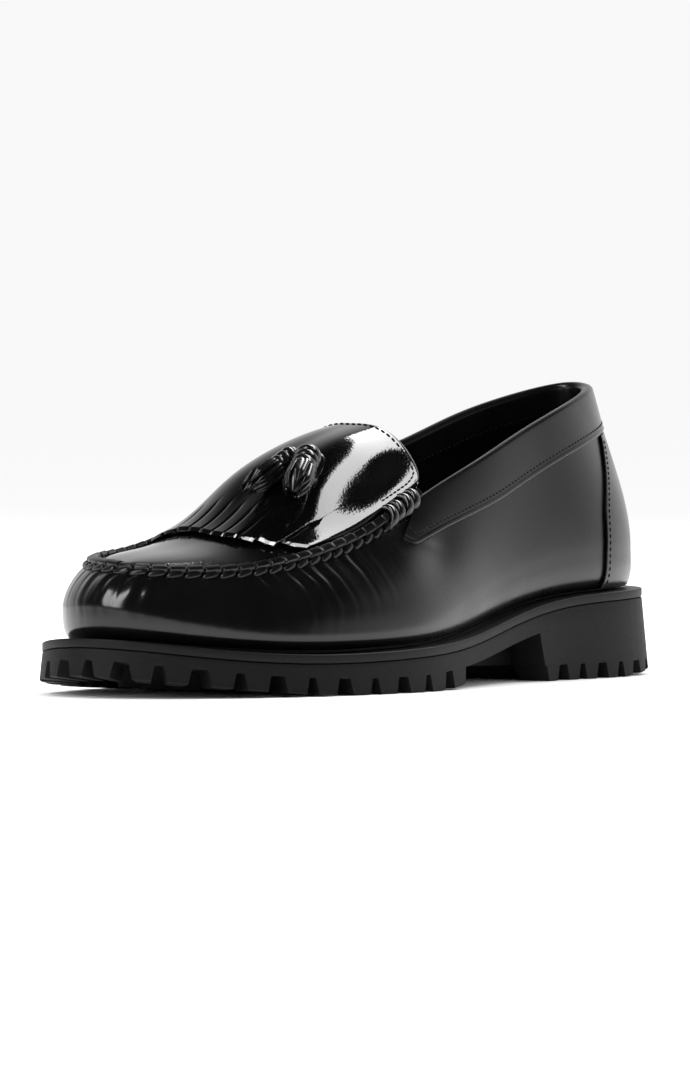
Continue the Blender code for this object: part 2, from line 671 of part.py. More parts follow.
def build_tassel_tie(material):
    """Short bar of lace behind the tassels' heads that ties them to the kiltie."""
    middle = vamp_points(np.array(TIE_PLACE[:1]), np.array(TIE_PLACE[1:]))[0]
    turn = np.arange(10) * 2 * np.pi / 10
    loops = []
    for along, radius in zip(TIE["along"], TIE["radius"]):
        r = TIE_RADIUS * radius
        ring_points = [np.cos(turn) * r, turn * 0 + along * TIE_LENGTH, np.sin(turn) * r]
        loops.append(middle + np.stack(ring_points, axis=1))
    points = lie_on_kiltie(np.concatenate(loops), GAP)
    return swept("tassel_tie", list(points.reshape(len(loops), 10, 3)), material)


def flat_ring(plan, height):
    """Ring of points at plan places with heights from a function of u."""
    return np.column_stack([plan, height(plan[:, 0])])


def build_insole(material):
    inset = ring(AROUND)[:, COLUMN["feather"]] + WALL + INSOLE_CLEARANCE
    plan = outline(AROUND, inset)
    rings = [flat_ring(plan, lambda u: sole_top(u) + GAP),
             flat_ring(plan, lambda u: sole_top(u) + GAP + INSOLE_THICK)]
    return plate("insole", rings, material)


def build_midsole(material):
    rings = []
    for inset, drop in ((0.5, MIDSOLE_THICK), (0.0, MIDSOLE_THICK - 0.6), (0.0, 0.7), (0.7, 0.0)):
        plan = outline(AROUND, np.full(EDGE_STEPS, inset))
        rings.append(flat_ring(plan, lambda u, d=drop: sole_top(u) - d))
    return plate("midsole", rings, material)


def roof(u):
    """Height up to which a lug reaches into the sole above it."""
    web = np.where(u < HEEL_BREAST_U, LUG_HEIGHT, web_floor(u))
    return web + 1.0


def lug(centre, half_low, half_high):
    """One edge lug: lower loop at the floor and upper loop inside the sole, tapering between."""
    loops = []
    for half, drop in ((half_low, 1.0), (half_high, 0.8)):
        at = centre + np.array([-half, 0.0, half]) / PERIMETER
        plan = np.concatenate([sole_edge(at, drop), outline(at[[2, 0]], np.full(2, LUG_DEPTH))])
        height = tread_floor(plan[:, 0]) if drop == 1.0 else roof(plan[:, 0])
        loops.append(np.column_stack([plan, height]))
    return loops


def lug_row(first, last, pitch, quicken=0.0):
    """Edge lugs between two places, with wide and narrow notches in turn."""
    count = int(round((last - first) * PERIMETER / pitch))
    share = np.arange(count + 1) / count
    ends = first + (last - first) * (share + quicken * share * (1 - share))
    row = []
    for k in range(count):
        shift = (NOTCH_WIDE - NOTCH_NARROW) / 4 * (1 if k % 2 else -1)
        width = (ends[k + 1] - ends[k]) * PERIMETER - (NOTCH_WIDE + NOTCH_NARROW) / 2
        centre = (ends[k] + ends[k + 1]) / 2 + shift / PERIMETER
        row.append(lug(centre, width / 2, width / 2 + NOTCH_TAPER))
    return row


def centre_lug(u, y, long, wide):
    """Six-sided lug in the middle of the tread."""
    corners = np.array([(-1, -0.6), (-1, 0.6), (0, 1), (1, 0.6), (1, -0.6), (0, -1)], float)
    low = corners * np.array([long / 2, wide / 2]) + np.array([u, y])
    high = corners * np.array([long / 2 + 1, wide / 2 + 1]) + np.array([u, y])
    return [np.column_stack([low, tread_floor(low[:, 0])]), np.column_stack([high, roof(high[:, 0])])]


def place_at_u(u, inner):
    """Place round the shoe where the sole's edge has this u, on the outer or inner side."""
    tip = place("toe tip")
    at = np.linspace(1.0, tip, 400) if inner else np.linspace(0.0, tip, 400)
    return float(np.interp(u, ring(at)[:, 0], at))


def build_outsole(material):
    """Web under the whole foot with a heel block, edge lugs and centre lugs fused to it."""
    top = outline(AROUND, np.full(EDGE_STEPS, 0.3))
    rings = [flat_ring(sole_edge(AROUND, 0.6), web_floor),
             flat_ring(top, lambda u: sole_top(u) - MIDSOLE_THICK - GAP)]
    outsole = plate("outsole", rings, material)
    outer, inner = place_at_u(HEEL_BREAST_U, False), place_at_u(HEEL_BREAST_U, True) - 1.0
    at = np.linspace(outer, inner, 32)
    low = flat_ring(sole_edge(at, 0.82), lambda u: u * 0 + LUG_HEIGHT)
    high = flat_ring(sole_edge(at, 0.2), lambda u: web_floor(u) + 3.0)
    heel = plate("heel_block", [low, high], material, turn=0)
    join(outsole, heel)
    lugs = lug_row(inner, outer, HEEL_PITCH)
    toe = TOE_NOTCH / PERIMETER
    lugs += lug_row(place_at_u(TREAD_START_U, False), toe, FORE_PITCH, LUG_QUICKEN)
    lugs += lug_row(toe, place_at_u(TREAD_START_U, True), FORE_PITCH)
    for u, y, long, wide in zip(*CENTRE_LUGS.values()):
        lugs.append(centre_lug(u, y, long, wide))
    join(outsole, prisms("lugs", lugs, material))
    return outsole


def clear_scene():
    for old in list(bpy.data.objects):
        bpy.data.objects.remove(old)


def main():
    clear_scene()
    leather = make_material("black_leather", (0.012, 0.012, 0.013), 0.22)
    lining = make_material("black_lining", (0.015, 0.015, 0.015), 0.7)
    rubber = make_material("black_rubber", (0.022, 0.022, 0.023), 0.6)
    build_upper(leather)
    build_collar_band(leather)
    build_heel_counter(leather)
    build_kiltie(leather)
    build_lace_wrap("lace_wrap_outer", False, leather)
    build_lace_wrap("lace_wrap_inner", True, leather)
    build_tassel("tassel_outer", *TASSEL_OUTER, leather)
    build_tassel("tassel_inner", *TASSEL_INNER, leather)
    build_tassel_tie(leather)
    build_insole(lining)
    build_midsole(rubber)
    build_outsole(rubber)


main()
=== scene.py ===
"""Looks of the tassel loafer for the left foot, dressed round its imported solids.

Plan sizes are millimetres: u runs from the back of the heel towards the toe, y is negative on
the outer side of the foot, and z is the height over the floor.  ShoeForm holds the shapes that
the pieces share, each sub-assembly is a class below it, and main() builds them in order.
"""

import json
import logging
import math
from dataclasses import dataclass, field
from enum import Enum

import bmesh
import bpy
import numpy as np
from mathutils import Quaternion, Vector
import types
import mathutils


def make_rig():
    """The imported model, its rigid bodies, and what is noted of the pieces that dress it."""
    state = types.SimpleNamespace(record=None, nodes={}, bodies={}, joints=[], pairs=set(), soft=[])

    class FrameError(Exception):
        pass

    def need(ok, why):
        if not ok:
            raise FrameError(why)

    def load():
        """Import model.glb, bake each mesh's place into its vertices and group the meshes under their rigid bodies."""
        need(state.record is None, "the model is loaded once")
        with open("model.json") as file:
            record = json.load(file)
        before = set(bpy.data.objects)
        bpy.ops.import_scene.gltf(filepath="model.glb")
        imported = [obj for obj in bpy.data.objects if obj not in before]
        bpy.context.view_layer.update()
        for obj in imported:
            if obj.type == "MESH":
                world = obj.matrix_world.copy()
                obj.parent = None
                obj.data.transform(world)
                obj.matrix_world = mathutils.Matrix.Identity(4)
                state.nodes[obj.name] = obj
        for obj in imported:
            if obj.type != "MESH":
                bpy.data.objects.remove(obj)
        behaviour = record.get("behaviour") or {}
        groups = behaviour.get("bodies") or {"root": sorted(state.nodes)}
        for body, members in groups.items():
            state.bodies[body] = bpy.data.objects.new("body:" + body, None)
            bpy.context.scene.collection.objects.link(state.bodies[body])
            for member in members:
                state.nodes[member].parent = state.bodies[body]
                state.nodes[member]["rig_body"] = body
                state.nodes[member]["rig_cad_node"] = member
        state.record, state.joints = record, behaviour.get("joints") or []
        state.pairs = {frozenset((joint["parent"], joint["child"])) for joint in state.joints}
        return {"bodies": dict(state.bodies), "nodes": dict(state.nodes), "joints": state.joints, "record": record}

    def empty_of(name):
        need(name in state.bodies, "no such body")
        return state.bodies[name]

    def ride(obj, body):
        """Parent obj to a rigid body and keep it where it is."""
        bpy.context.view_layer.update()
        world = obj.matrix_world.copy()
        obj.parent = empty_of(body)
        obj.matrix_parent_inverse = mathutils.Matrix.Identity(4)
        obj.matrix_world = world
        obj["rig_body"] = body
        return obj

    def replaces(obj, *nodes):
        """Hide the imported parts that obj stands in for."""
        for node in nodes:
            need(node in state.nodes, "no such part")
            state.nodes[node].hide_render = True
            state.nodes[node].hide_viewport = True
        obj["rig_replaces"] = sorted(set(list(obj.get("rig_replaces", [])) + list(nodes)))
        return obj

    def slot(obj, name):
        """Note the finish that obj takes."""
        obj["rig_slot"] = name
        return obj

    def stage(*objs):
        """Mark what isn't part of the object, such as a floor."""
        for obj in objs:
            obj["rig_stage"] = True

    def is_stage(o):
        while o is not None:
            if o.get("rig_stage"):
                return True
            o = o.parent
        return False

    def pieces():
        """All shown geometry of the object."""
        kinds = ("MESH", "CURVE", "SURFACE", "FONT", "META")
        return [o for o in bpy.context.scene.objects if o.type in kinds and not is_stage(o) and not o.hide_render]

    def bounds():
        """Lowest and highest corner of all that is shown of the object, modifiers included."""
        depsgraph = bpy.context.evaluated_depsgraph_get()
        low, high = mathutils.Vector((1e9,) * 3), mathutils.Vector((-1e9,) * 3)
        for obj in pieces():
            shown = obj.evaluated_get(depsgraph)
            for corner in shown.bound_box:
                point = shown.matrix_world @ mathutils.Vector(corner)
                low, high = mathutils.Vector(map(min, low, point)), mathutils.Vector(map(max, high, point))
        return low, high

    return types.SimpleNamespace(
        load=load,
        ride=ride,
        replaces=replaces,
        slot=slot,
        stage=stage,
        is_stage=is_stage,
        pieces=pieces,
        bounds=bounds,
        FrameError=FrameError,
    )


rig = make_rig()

Array = np.ndarray
Pair = tuple[float, float]
Triple = tuple[float, float, float]
Numbers = tuple[float, ...]
Object = bpy.types.Object
Material = bpy.types.Material
Socket = bpy.types.NodeSocket
Tree = bpy.types.NodeTree
MM = 0.001
UP = np.array([0.0, 0.0, 1.0])
FINE_STEPS = 400
STRAP_SIDES = 10
STRAP_SQUARE = 0.6
LOG = logging.getLogger("loafer")


class Side(Enum):
    """The two sides of the foot."""

    OUTER = "throat outer"
    INNER = "throat inner"


class Slot(Enum):
    """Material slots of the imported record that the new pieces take."""

    LEATHER = "leather"
    RUBBER = "rubber"


# ---------------------------------------------------------------------------------------------
# Curves


def unit(vectors: Array) -> Array:
    """Vectors scaled to length one."""
    return vectors / np.maximum(np.linalg.norm(vectors, axis=-1, keepdims=True), 1e-12)


def ease(x: Array) -> Array:
    """Smooth step from 0 to 1 while x goes from 0 to 1."""
    x = np.clip(x, 0.0, 1.0)
    return x * x * (3 - 2 * x)


def ramp(x: Array, start: float, run: float) -> Array:
    """Smooth step from 0 at a start to 1 after a run."""
    return ease((x - start) / run)


def ripple(x: Array, seed: float = 0.0) -> Array:
    """Uneven wave between -1 and 1: three sines whose pitches never fit each other."""
    return (np.sin(x + seed) + np.sin(1.73 * x + 2.1 * seed + 1.0) + np.sin(2.61 * x - seed)) / 3


def bend(away: Array, wide: float, slope: float, soft: float) -> Array:
    """Rise of a margin bent out of its plane.

    With x = max(0, wide - away) the rise is slope (sqrt(x^2 + soft^2) - soft): flat, then a
    straight slope.

    Args:
        away: Distance from the free edge, in mm.
        wide: Width of the bent margin, in mm.
        slope: Slope of the margin.
        soft: Radius of the bend, in mm.

    Returns:
        The rise in mm.
    """
    inside = np.clip(wide - away, 0, None)
    return slope * (np.sqrt(inside ** 2 + soft ** 2) - soft)


def spline(knots: Array, values: Array, at: Array, period: float | None = None) -> Array:
    """Cubic spline with continuous curvature.

    Args:
        knots: Rising places of the values.
        values: One value or one row of values at each knot.
        at: Places to read.
        period: Length after which a closed curve repeats, or None for an open one.

    Returns:
        The curve at each place.
    """
    knots, values, at = (np.asarray(v, float) for v in (knots, values, at))
    if period is not None:
        knots = np.append(knots, knots[0] + period)
        values = np.concatenate([values, values[:1]])
        at = knots[0] + np.mod(at - knots[0], period)
    count = len(knots)
    step = np.diff(knots)
    slope = np.diff(values, axis=0) / step.reshape((-1,) + (1,) * (values.ndim - 1))
    system = np.zeros((count, count))
    right = np.zeros_like(values)
    for i in range(1, count - 1):
        system[i, i - 1:i + 2] = step[i - 1], 2 * (step[i - 1] + step[i]), step[i]
        right[i] = 6 * (slope[i] - slope[i - 1])
    if period is None:
        system[0, 0] = system[-1, -1] = 1.0
    else:
        system[0, [0, -1]] = 1.0, -1.0
        system[-1, [0, 1, -2, -1]] = 2 * step[0], step[0], step[-1], 2 * step[-1]
        right[-1] = 6 * (slope[0] - slope[-1])
    curving = np.linalg.solve(system, right.reshape(count, -1)).reshape(values.shape)
    i = np.clip(np.searchsorted(knots, at, side="right") - 1, 0, count - 2)
    wide = (-1,) + (1,) * (values.ndim - 1)
    h = step[i].reshape(wide)
    a = ((knots[i + 1] - at) / step[i]).reshape(wide)
    b = 1 - a
    curve = a * values[i] + b * values[i + 1]
    return curve + ((a ** 3 - a) * curving[i] + (b ** 3 - b) * curving[i + 1]) * h ** 2 / 6


def hermite(start: Array, end: Array, leave: Array, arrive: Array, t: Array) -> Array:
    """Cubic from start to end with these directions at its ends, at shares t of the way."""
    return ((2 * t ** 3 - 3 * t ** 2 + 1) * start + (t ** 3 - 2 * t ** 2 + t) * leave
            + (3 * t ** 2 - 2 * t ** 3) * end + (t ** 3 - t ** 2) * arrive)


def ring_normals(points: Array) -> Array:
    """Facing of a closed grid's points: the cross product of its steps along rows and columns."""
    along = np.roll(points, -1, axis=1) - np.roll(points, 1, axis=1)
    return unit(np.cross(along, np.gradient(points, axis=0)))


@dataclass
class Path:
    """A line over a surface, with the surface's facing at each of its points."""

    points: Array
    facing: Array

    def __post_init__(self) -> None:
        """Measure the distance along the line."""
        steps = np.linalg.norm(np.diff(self.points, axis=0), axis=1)
        self.run = np.concatenate([[0.0], np.cumsum(steps)])

    def at(self, distance: Array) -> tuple[Array, Array, Array]:
        """Place, direction and facing at distances along the line."""
        small = 0.2
        place, ahead, behind = (
            np.stack([np.interp(d, self.run, self.points[:, k]) for k in range(3)], axis=1)
            for d in (distance, distance + small, distance - small))
        facing = np.stack([np.interp(distance, self.run, self.facing[:, k]) for k in range(3)], axis=1)
        along = unit(ahead - behind)
        facing = unit(facing - along * np.sum(facing * along, axis=1, keepdims=True))
        return place, along, facing

    def evenly(self, pitch: float) -> Array:
        """Distances along the line of the middles of equal steps near this pitch."""
        count = max(int(round(self.run[-1] / pitch)), 1)
        return (np.arange(count) + 0.5) * self.run[-1] / count


# ---------------------------------------------------------------------------------------------
# The shapes that the pieces share


@dataclass(frozen=True)
class ShoeForm:
    """Measures of the last and the sole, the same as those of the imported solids.

    Pairs that end in rise or fall are the start and the run of a smooth step along the vamp.
    """

    length: float = 300.0
    gap: float = 0.3
    wall: float = 1.8
    ridge_width: float = 4.6
    seam_face_toe: float = 76.0
    seam_face_throat: float = 42.0
    seam_face_power: float = 1.5
    foot_tuck: float = 0.5
    belly_pull: float = 1.1
    tongue_bow: float = 9.0
    bow_rise: Pair = (0.7, 0.3)
    crown_skew: float = 1.14
    crown_fullness: float = 2.8
    vamp_run: float = 130.0
    lug_height: float = 5.6
    web_thick: float = 9.4
    toe_spring: float = 7.4
    spring_start_u: float = 216.0
    rear_lift: float = 2.0
    rear_lift_run: float = 24.0
    heel_bevel: float = 4.0
    heel_bevel_run: float = 46.0
    heel_bevel_power: float = 1.8
    heel_breast_u: float = 92.0
    breast_run: float = 10.0
    tread_start_u: float = 158.0
    heel_flare: float = 3.0
    fore_flare: float = 0.9
    profile_steps: int = 100
    outline_steps: int = 84
    swell_height: float = 2.0
    swell_span: float = 0.56
    swell_rise: Pair = (0.45, 0.3)
    swell_fall: Pair = (0.85, 0.15)
    swell_loss: float = 0.6
    flare_height: float = 0.9
    flare_span: float = 0.17
    flare_rise: Pair = (0.7, 0.12)
    curl_height: float = 0.9
    curl_span: float = 0.1
    curl_fall: Pair = (0.68, 0.14)
    # Round the shoe from the heel's back along the outer side: edge u and y, feather, bulge, rise,
    # top u, y and z, lean.
    sections: dict[str, Numbers] = field(default_factory=lambda: {
        "heel back": (0.0, 0.0, 7.5, 5.4, 15.0, 15.5, 1.5, 105.4, 10.0),
        "heel back outer": (9.0, -22.7, 7.5, 5.4, 15.0, 22.5, -9.5, 103.8, 12.0),
        "heel outer": (37.0, -35.6, 7.0, 4.6, 15.0, 48.0, -18.8, 98.2, 16.0),
        "waist outer": (75.0, -36.8, 6.0, 3.4, 15.0, 82.0, -23.0, 88.8, 16.0),
        "quarter outer": (112.0, -39.8, 6.5, 3.8, 14.0, 117.0, -27.0, 78.0, 22.0),
        "throat outer": (147.0, -47.6, 6.5, 4.0, 11.5, 153.0, -28.5, 66.0, 38.0),
        "ball outer": (187.0, -55.2, 6.5, 4.0, 7.0, 192.0, -31.0, 51.8, 52.0),
        "vamp outer": (226.0, -52.6, 7.0, 4.5, 6.2, 232.0, -29.5, 43.6, 60.0),
        "toe outer": (271.0, -34.2, 8.0, 5.5, 7.0, 264.0, -16.5, 40.8, 62.0),
        "toe tip": (300.0, 8.0, 9.5, 7.0, 12.0, 281.0, 8.0, 42.6, 62.0),
        "toe inner": (284.0, 38.0, 9.5, 7.0, 12.0, 267.0, 32.0, 44.0, 62.0),
        "vamp inner": (248.0, 52.2, 8.0, 5.5, 12.0, 235.0, 40.0, 46.4, 58.0),
        "ball inner": (205.0, 52.4, 7.0, 4.5, 12.0, 196.0, 39.5, 54.5, 50.0),
        "throat inner": (160.0, 41.8, 7.0, 4.5, 13.0, 153.0, 34.0, 67.6, 36.0),
        "quarter inner": (118.0, 35.6, 6.5, 4.0, 14.0, 117.0, 28.5, 77.4, 20.0),
        "waist inner": (78.0, 35.2, 6.0, 3.4, 15.0, 82.0, 25.0, 87.4, 14.0),
        "heel inner": (37.0, 35.8, 7.0, 4.6, 15.0, 48.5, 21.5, 97.2, 14.0),
        "heel back inner": (10.0, 23.4, 7.5, 5.4, 15.0, 22.0, 12.5, 103.8, 12.0),
    })
    sole_top_u: Numbers = (0, 40, 75, 100, 125, 150, 175, 200, 250, 275, 300)
    sole_top_z: Numbers = (32.0, 31.0, 29.2, 25.8, 21.4, 17.8, 15.8, 14.8, 14.6, 16.6, 20.4)
    vamp_ridge_u: Numbers = (146, 165, 183, 200, 214, 226, 240, 256, 270, 281)
    vamp_ridge_z: Numbers = (91.8, 88.0, 81.6, 72.4, 62.2, 55.2, 50.6, 48.4, 46.8, 44.8)

    def __post_init__(self) -> None:
        """Work out the section places, the sole's length round and the middle of its box."""
        table = np.array(list(self.sections.values()))
        chords = np.linalg.norm(np.roll(table[:, :2], -1, axis=0) - table[:, :2], axis=1)
        places = np.concatenate([[0.0], np.cumsum(chords)[:-1]]) / chords.sum()
        object.__setattr__(self, "table", table)
        object.__setattr__(self, "places", places)
        at = np.arange(self.outline_steps) / self.outline_steps
        steps = np.diff(self.outline(np.append(at, 1.0)), axis=0)
        object.__setattr__(self, "perimeter", np.linalg.norm(steps, axis=1).sum())
        floor = self.sole_edge(at, 1.0)
        object.__setattr__(self, "middle", (floor.min(axis=0) + floor.max(axis=0)) / 2)

    def place(self, name: str) -> float:
        """Share of the way round the shoe of a named section."""
        return self.places[list(self.sections).index(name)]

    def ring(self, at: Array) -> Array:
        """The table of sections read at places round the shoe."""
        return spline(self.places, self.table, at, period=1.0)

    def outline(self, at: Array, inset: Array | float = 0.0) -> Array:
        """Plan points u, y of the sole's edge, moved inwards by inset."""
        small = 1e-4
        along = unit(self.ring(at + small)[:, :2] - self.ring(at - small)[:, :2])
        inward = np.stack([-along[:, 1], along[:, 0]], axis=1)
        return self.ring(at)[:, :2] + inward * np.reshape(inset, (-1, 1))

    def sole_edge(self, at: Array, drop: Array | float) -> Array:
        """Plan points of the sole's side, which flares from its top (drop 0) to the floor (1)."""
        heel = np.clip((self.heel_breast_u - self.ring(at)[:, 0]) / self.heel_breast_u, 0, 1) ** 2
        flare = self.fore_flare + (self.heel_flare - self.fore_flare) * heel
        return self.outline(at, -flare * drop)

    def place_at_u(self, u: float, side: Side) -> float:
        """Place round the shoe where the sole's edge has this u on one side."""
        start = 0.0 if side is Side.OUTER else 1.0
        at = np.linspace(start, self.place("toe tip"), FINE_STEPS)
        return float(np.interp(u, self.ring(at)[:, 0], at))

    def sole_top(self, u: Array) -> Array:
        """Height of the sole's top face."""
        flat = np.clip(np.ravel(u), 0, self.length)
        return spline(self.sole_top_u, self.sole_top_z, flat).reshape(np.shape(u))

    def tread_floor(self, u: Array) -> Array:
        """Height of the lugs' feet: flat under heel and ball, lifting towards the toe."""
        spring = np.clip((u - self.spring_start_u) / (self.length - self.spring_start_u), 0, None)
        rear = np.clip((self.tread_start_u + self.rear_lift_run - u) / self.rear_lift_run, 0, 1)
        rear = rear * (u > self.heel_breast_u + self.breast_run)
        heel = np.clip((self.heel_bevel_run - u) / self.heel_bevel_run, 0, None)
        bevel = self.heel_bevel * heel ** self.heel_bevel_power
        return self.toe_spring * spring ** 2 + self.rear_lift * rear ** 2 + bevel

    def web_floor(self, u: Array) -> Array:
        """Height of the sole's underside between the lugs."""
        return np.maximum(self.sole_top(u) - self.web_thick, self.tread_floor(u) + self.lug_height)

    def wall_profile(self, at: Array) -> Array:
        """The upper's side at each place: foot to widest line to top edge, as two cubics."""
        rows = self.ring(at)
        feather = self.outline(at, rows[:, 2])
        widest = self.outline(at, rows[:, 3])
        rest = self.sole_top(feather[:, 0])
        foot = np.column_stack([feather, rest + self.gap])
        belly = np.column_stack([widest, rest + rows[:, 4]])
        top = rows[:, 5:8]
        inward = unit((top - belly) * np.array([1.0, 1.0, 0.0]))
        lean = np.radians(rows[:, 8])[:, None]
        low = np.linalg.norm(belly - foot, axis=1)[:, None]
        high = np.linalg.norm(top - belly, axis=1)[:, None]
        t = np.linspace(0, 1, self.profile_steps + 1)[None, :, None]
        leave = (unit(belly - foot) - self.foot_tuck * inward) * low
        arrive = (np.cos(lean) * UP + np.sin(lean) * inward) * high
        upright = UP * low * self.belly_pull
        below = hermite(foot[:, None], belly[:, None], leave[:, None], upright[:, None], t)
        above = hermite(belly[:, None], top[:, None], (UP * high)[:, None], arrive[:, None], t[:, 1:])
        return np.concatenate([below, above], axis=1)

    def wall_height(self, at: Array) -> Array:
        """Length of the upper's side from the sole to its top edge."""
        return np.linalg.norm(np.diff(self.wall_profile(at), axis=1), axis=2).sum(axis=1)

    def wall_points(self, at: Array, share: Array) -> Array:
        """Points of the upper's side.

        Args:
            at: Places round the shoe.
            share: Shares of the way up at each place, with one column for each row of points.

        Returns:
            Points, one for each share.
        """
        profile = self.wall_profile(at)
        steps = np.linalg.norm(np.diff(profile, axis=1), axis=2)
        run = np.concatenate([np.zeros((len(at), 1)), np.cumsum(steps, axis=1)], axis=1)
        run /= run[:, -1:]
        index = (share[:, :, None] > run[:, None, 1:-1]).sum(axis=2)
        low = np.take_along_axis(run, index, axis=1)
        high = np.take_along_axis(run, index + 1, axis=1)
        w = ((share - low) / (high - low))[:, :, None]
        start = np.take_along_axis(profile, index[:, :, None], axis=1)
        end = np.take_along_axis(profile, index[:, :, None] + 1, axis=1)
        return start * (1 - w) + end * w

    def wall_spots(self, at: Array, share: Array) -> tuple[Array, Array]:
        """Single points of the upper's side and their outward directions."""
        small = 0.002
        high, low = np.minimum(share + small, 1.0), np.maximum(share - small, 0.0)
        upward = self.wall_points(at, np.stack([low, share, high], axis=1))
        ahead = self.wall_points(at + small, share[:, None])[:, 0]
        behind = self.wall_points(at - small, share[:, None])[:, 0]
        return upward[:, 1], unit(np.cross(ahead - behind, upward[:, 2] - upward[:, 0]))

    def seam(self, t: Array, side: Side) -> tuple[Array, Array, Array]:
        """The moccasin seam from the toe's tip (0) to the throat (1).

        Args:
            t: Shares of the way from tip to throat.
            side: Which side of the foot.

        Returns:
            The wall's top edge, the direction across the seam and the direction out of it.
        """
        tip = self.place("toe tip")
        at = tip + (self.place(side.value) - tip) * t
        small = 2e-3
        along = self.ring(at + small)[:, 5:8] - self.ring(at - small)[:, 5:8]
        inward = unit(np.stack([-along[:, 1], along[:, 0], np.zeros(len(at))], axis=1))
        turn = self.seam_face_throat - self.seam_face_toe
        face = np.radians(self.seam_face_toe + turn * np.abs(t) ** self.seam_face_power)[:, None]
        across = inward * np.sin(face) + UP * np.cos(face)
        return self.ring(at)[:, 5:8], across, UP * np.sin(face) - inward * np.cos(face)

    def vamp(self, t: Array, across: Array) -> Array:
        """Points of the vamp, from tip to throat and from the outer to the inner side.

        A straight span between the seam's two inner feet is raised by the crown's height times
        one minus a high power of the distance from the middle, and bowed back at the throat.
        """
        edges = [self.seam(t, side) for side in Side]
        outer, inner = (edge + side * self.ridge_width for edge, side, _ in edges)
        middle = (outer + inner) / 2
        crown = np.maximum(spline(self.vamp_ridge_u, self.vamp_ridge_z, middle[:, 0]) - middle[:, 2], 0)
        points = outer * (1 - across[:, None]) + inner * across[:, None]
        fullness = np.abs(2 * np.clip(across, 0, 1) ** self.crown_skew - 1) ** self.crown_fullness
        points[:, 2] += crown * (1 - fullness)
        late = ramp(t, *self.bow_rise)
        edge = np.abs(2 * across - 1)
        points[:, 0] -= self.tongue_bow * (1 - edge ** 8) * (0.7 + 0.3 * edge ** 2) * late
        return points

    def vamp_facing(self, t: Array, across: Array) -> Array:
        """Outward directions of the vamp."""
        small = 0.004
        a_low, a_high = np.maximum(across - small, 0.0), np.minimum(across + small, 1.0)
        t_low, t_high = np.maximum(t - small, small), np.minimum(t + small, 1.0)
        back = self.vamp(t_high, across) - self.vamp(t_low, across)
        return unit(np.cross(self.vamp(t, a_high) - self.vamp(t, a_low), back))

    def over_vamp(self, t: Array, across: Array, height: Array | float) -> Array:
        """Points at a height over the vamp, on grids of any shape."""
        shape = np.broadcast_shapes(np.shape(t), np.shape(across), np.shape(height))
        t, across, height = (np.broadcast_to(v, shape).ravel() for v in (t, across, height))
        points = self.vamp(t, across) + self.vamp_facing(t, across) * height[:, None]
        return points.reshape(shape + (3,))

    def swell(self, t: Array, across: Array) -> Array:
        """How much fuller than the vamp the kiltie stands over its outer half.

        A squared sine over the outer half, and an outer edge that curls up at the fringe and flares
        behind it, both with the square of the distance past their start.
        """
        lobe = np.sin(np.pi * np.clip(across / self.swell_span, 0, 1)) ** 2
        flare = self.flare_height * np.clip(1 - across / self.flare_span, 0, 1) ** 2
        curl = self.curl_height * np.clip(1 - across / self.curl_span, 0, 1) ** 2
        late = 1 - self.swell_loss * ramp(t, *self.swell_fall)
        full = self.swell_height * lobe * late * ramp(t, *self.swell_rise)
        return full + flare * ramp(t, *self.flare_rise) + curl * (1 - ramp(t, *self.curl_fall))

    def world(self, points: Array) -> Array:
        """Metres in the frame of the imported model: the toe points along -X."""
        points = np.asarray(points, float).reshape(-1, 3)
        shifted = [self.middle[0] - points[:, 0], points[:, 1] - self.middle[1], points[:, 2]]
        return np.column_stack(shifted) * MM


FORM = ShoeForm()


# ---------------------------------------------------------------------------------------------
# Meshes


@dataclass
class Mesh:
    """Points in millimetres and the faces between them."""

    points: Array
    faces: list[list[int]]

    @staticmethod
    def joined(meshes: list["Mesh"]) -> "Mesh":
        """Several meshes as one."""
        faces: list[list[int]] = []
        first = 0
        for mesh in meshes:
            faces += [[corner + first for corner in face] for face in mesh.faces]
            first += len(mesh.points)
        return Mesh(np.concatenate([mesh.points for mesh in meshes]), faces)


def shell(outer: Array, inner: Array, closed: bool = False, cells: Array | None = None) -> Mesh:
    """Closed solid between two grids of points, joined round their open edges.

    Args:
        outer: Outer points, rows by columns.
        inner: Inner points of the same grid.
        closed: Whether the last column joins the first.
        cells: Which cells of the grid carry a face, or None for all.

    Returns:
        The solid's mesh.
    """
    rows, columns = outer.shape[:2]
    if cells is None:
        cells = np.ones((rows - 1, columns if closed else columns - 1), bool)
    number = np.arange(rows * columns).reshape(rows, columns)
    ahead = np.roll(number, -1, axis=1)[:, :cells.shape[1]]
    number = number[:, :cells.shape[1]]
    a, b, c, d = number[:-1], ahead[:-1], ahead[1:], number[1:]
    tall = np.pad(cells, ((1, 1), (0, 0)))
    if closed:
        left, right = np.roll(cells, 1, axis=1), np.roll(cells, -1, axis=1)
    else:
        wide = np.pad(cells, ((0, 0), (1, 1)))
        left, right = wide[:, :-2], wide[:, 2:]
    count = rows * columns
    faces = [np.stack([v[cells] for v in (a, b, c, d)], axis=1)]
    faces.append(faces[0][:, ::-1] + count)
    for bare, p, q in ((~tall[:-2], b, a), (~tall[2:], d, c), (~left, a, d), (~right, c, b)):
        p, q = p[bare & cells], q[bare & cells]
        faces.append(np.stack([p, q, q + count, p + count], axis=1))
    faces = np.concatenate(faces)
    used, renumbered = np.unique(faces, return_inverse=True)
    points = np.concatenate([outer.reshape(-1, 3), inner.reshape(-1, 3)])[used]
    return Mesh(points, renumbered.reshape(faces.shape).tolist())


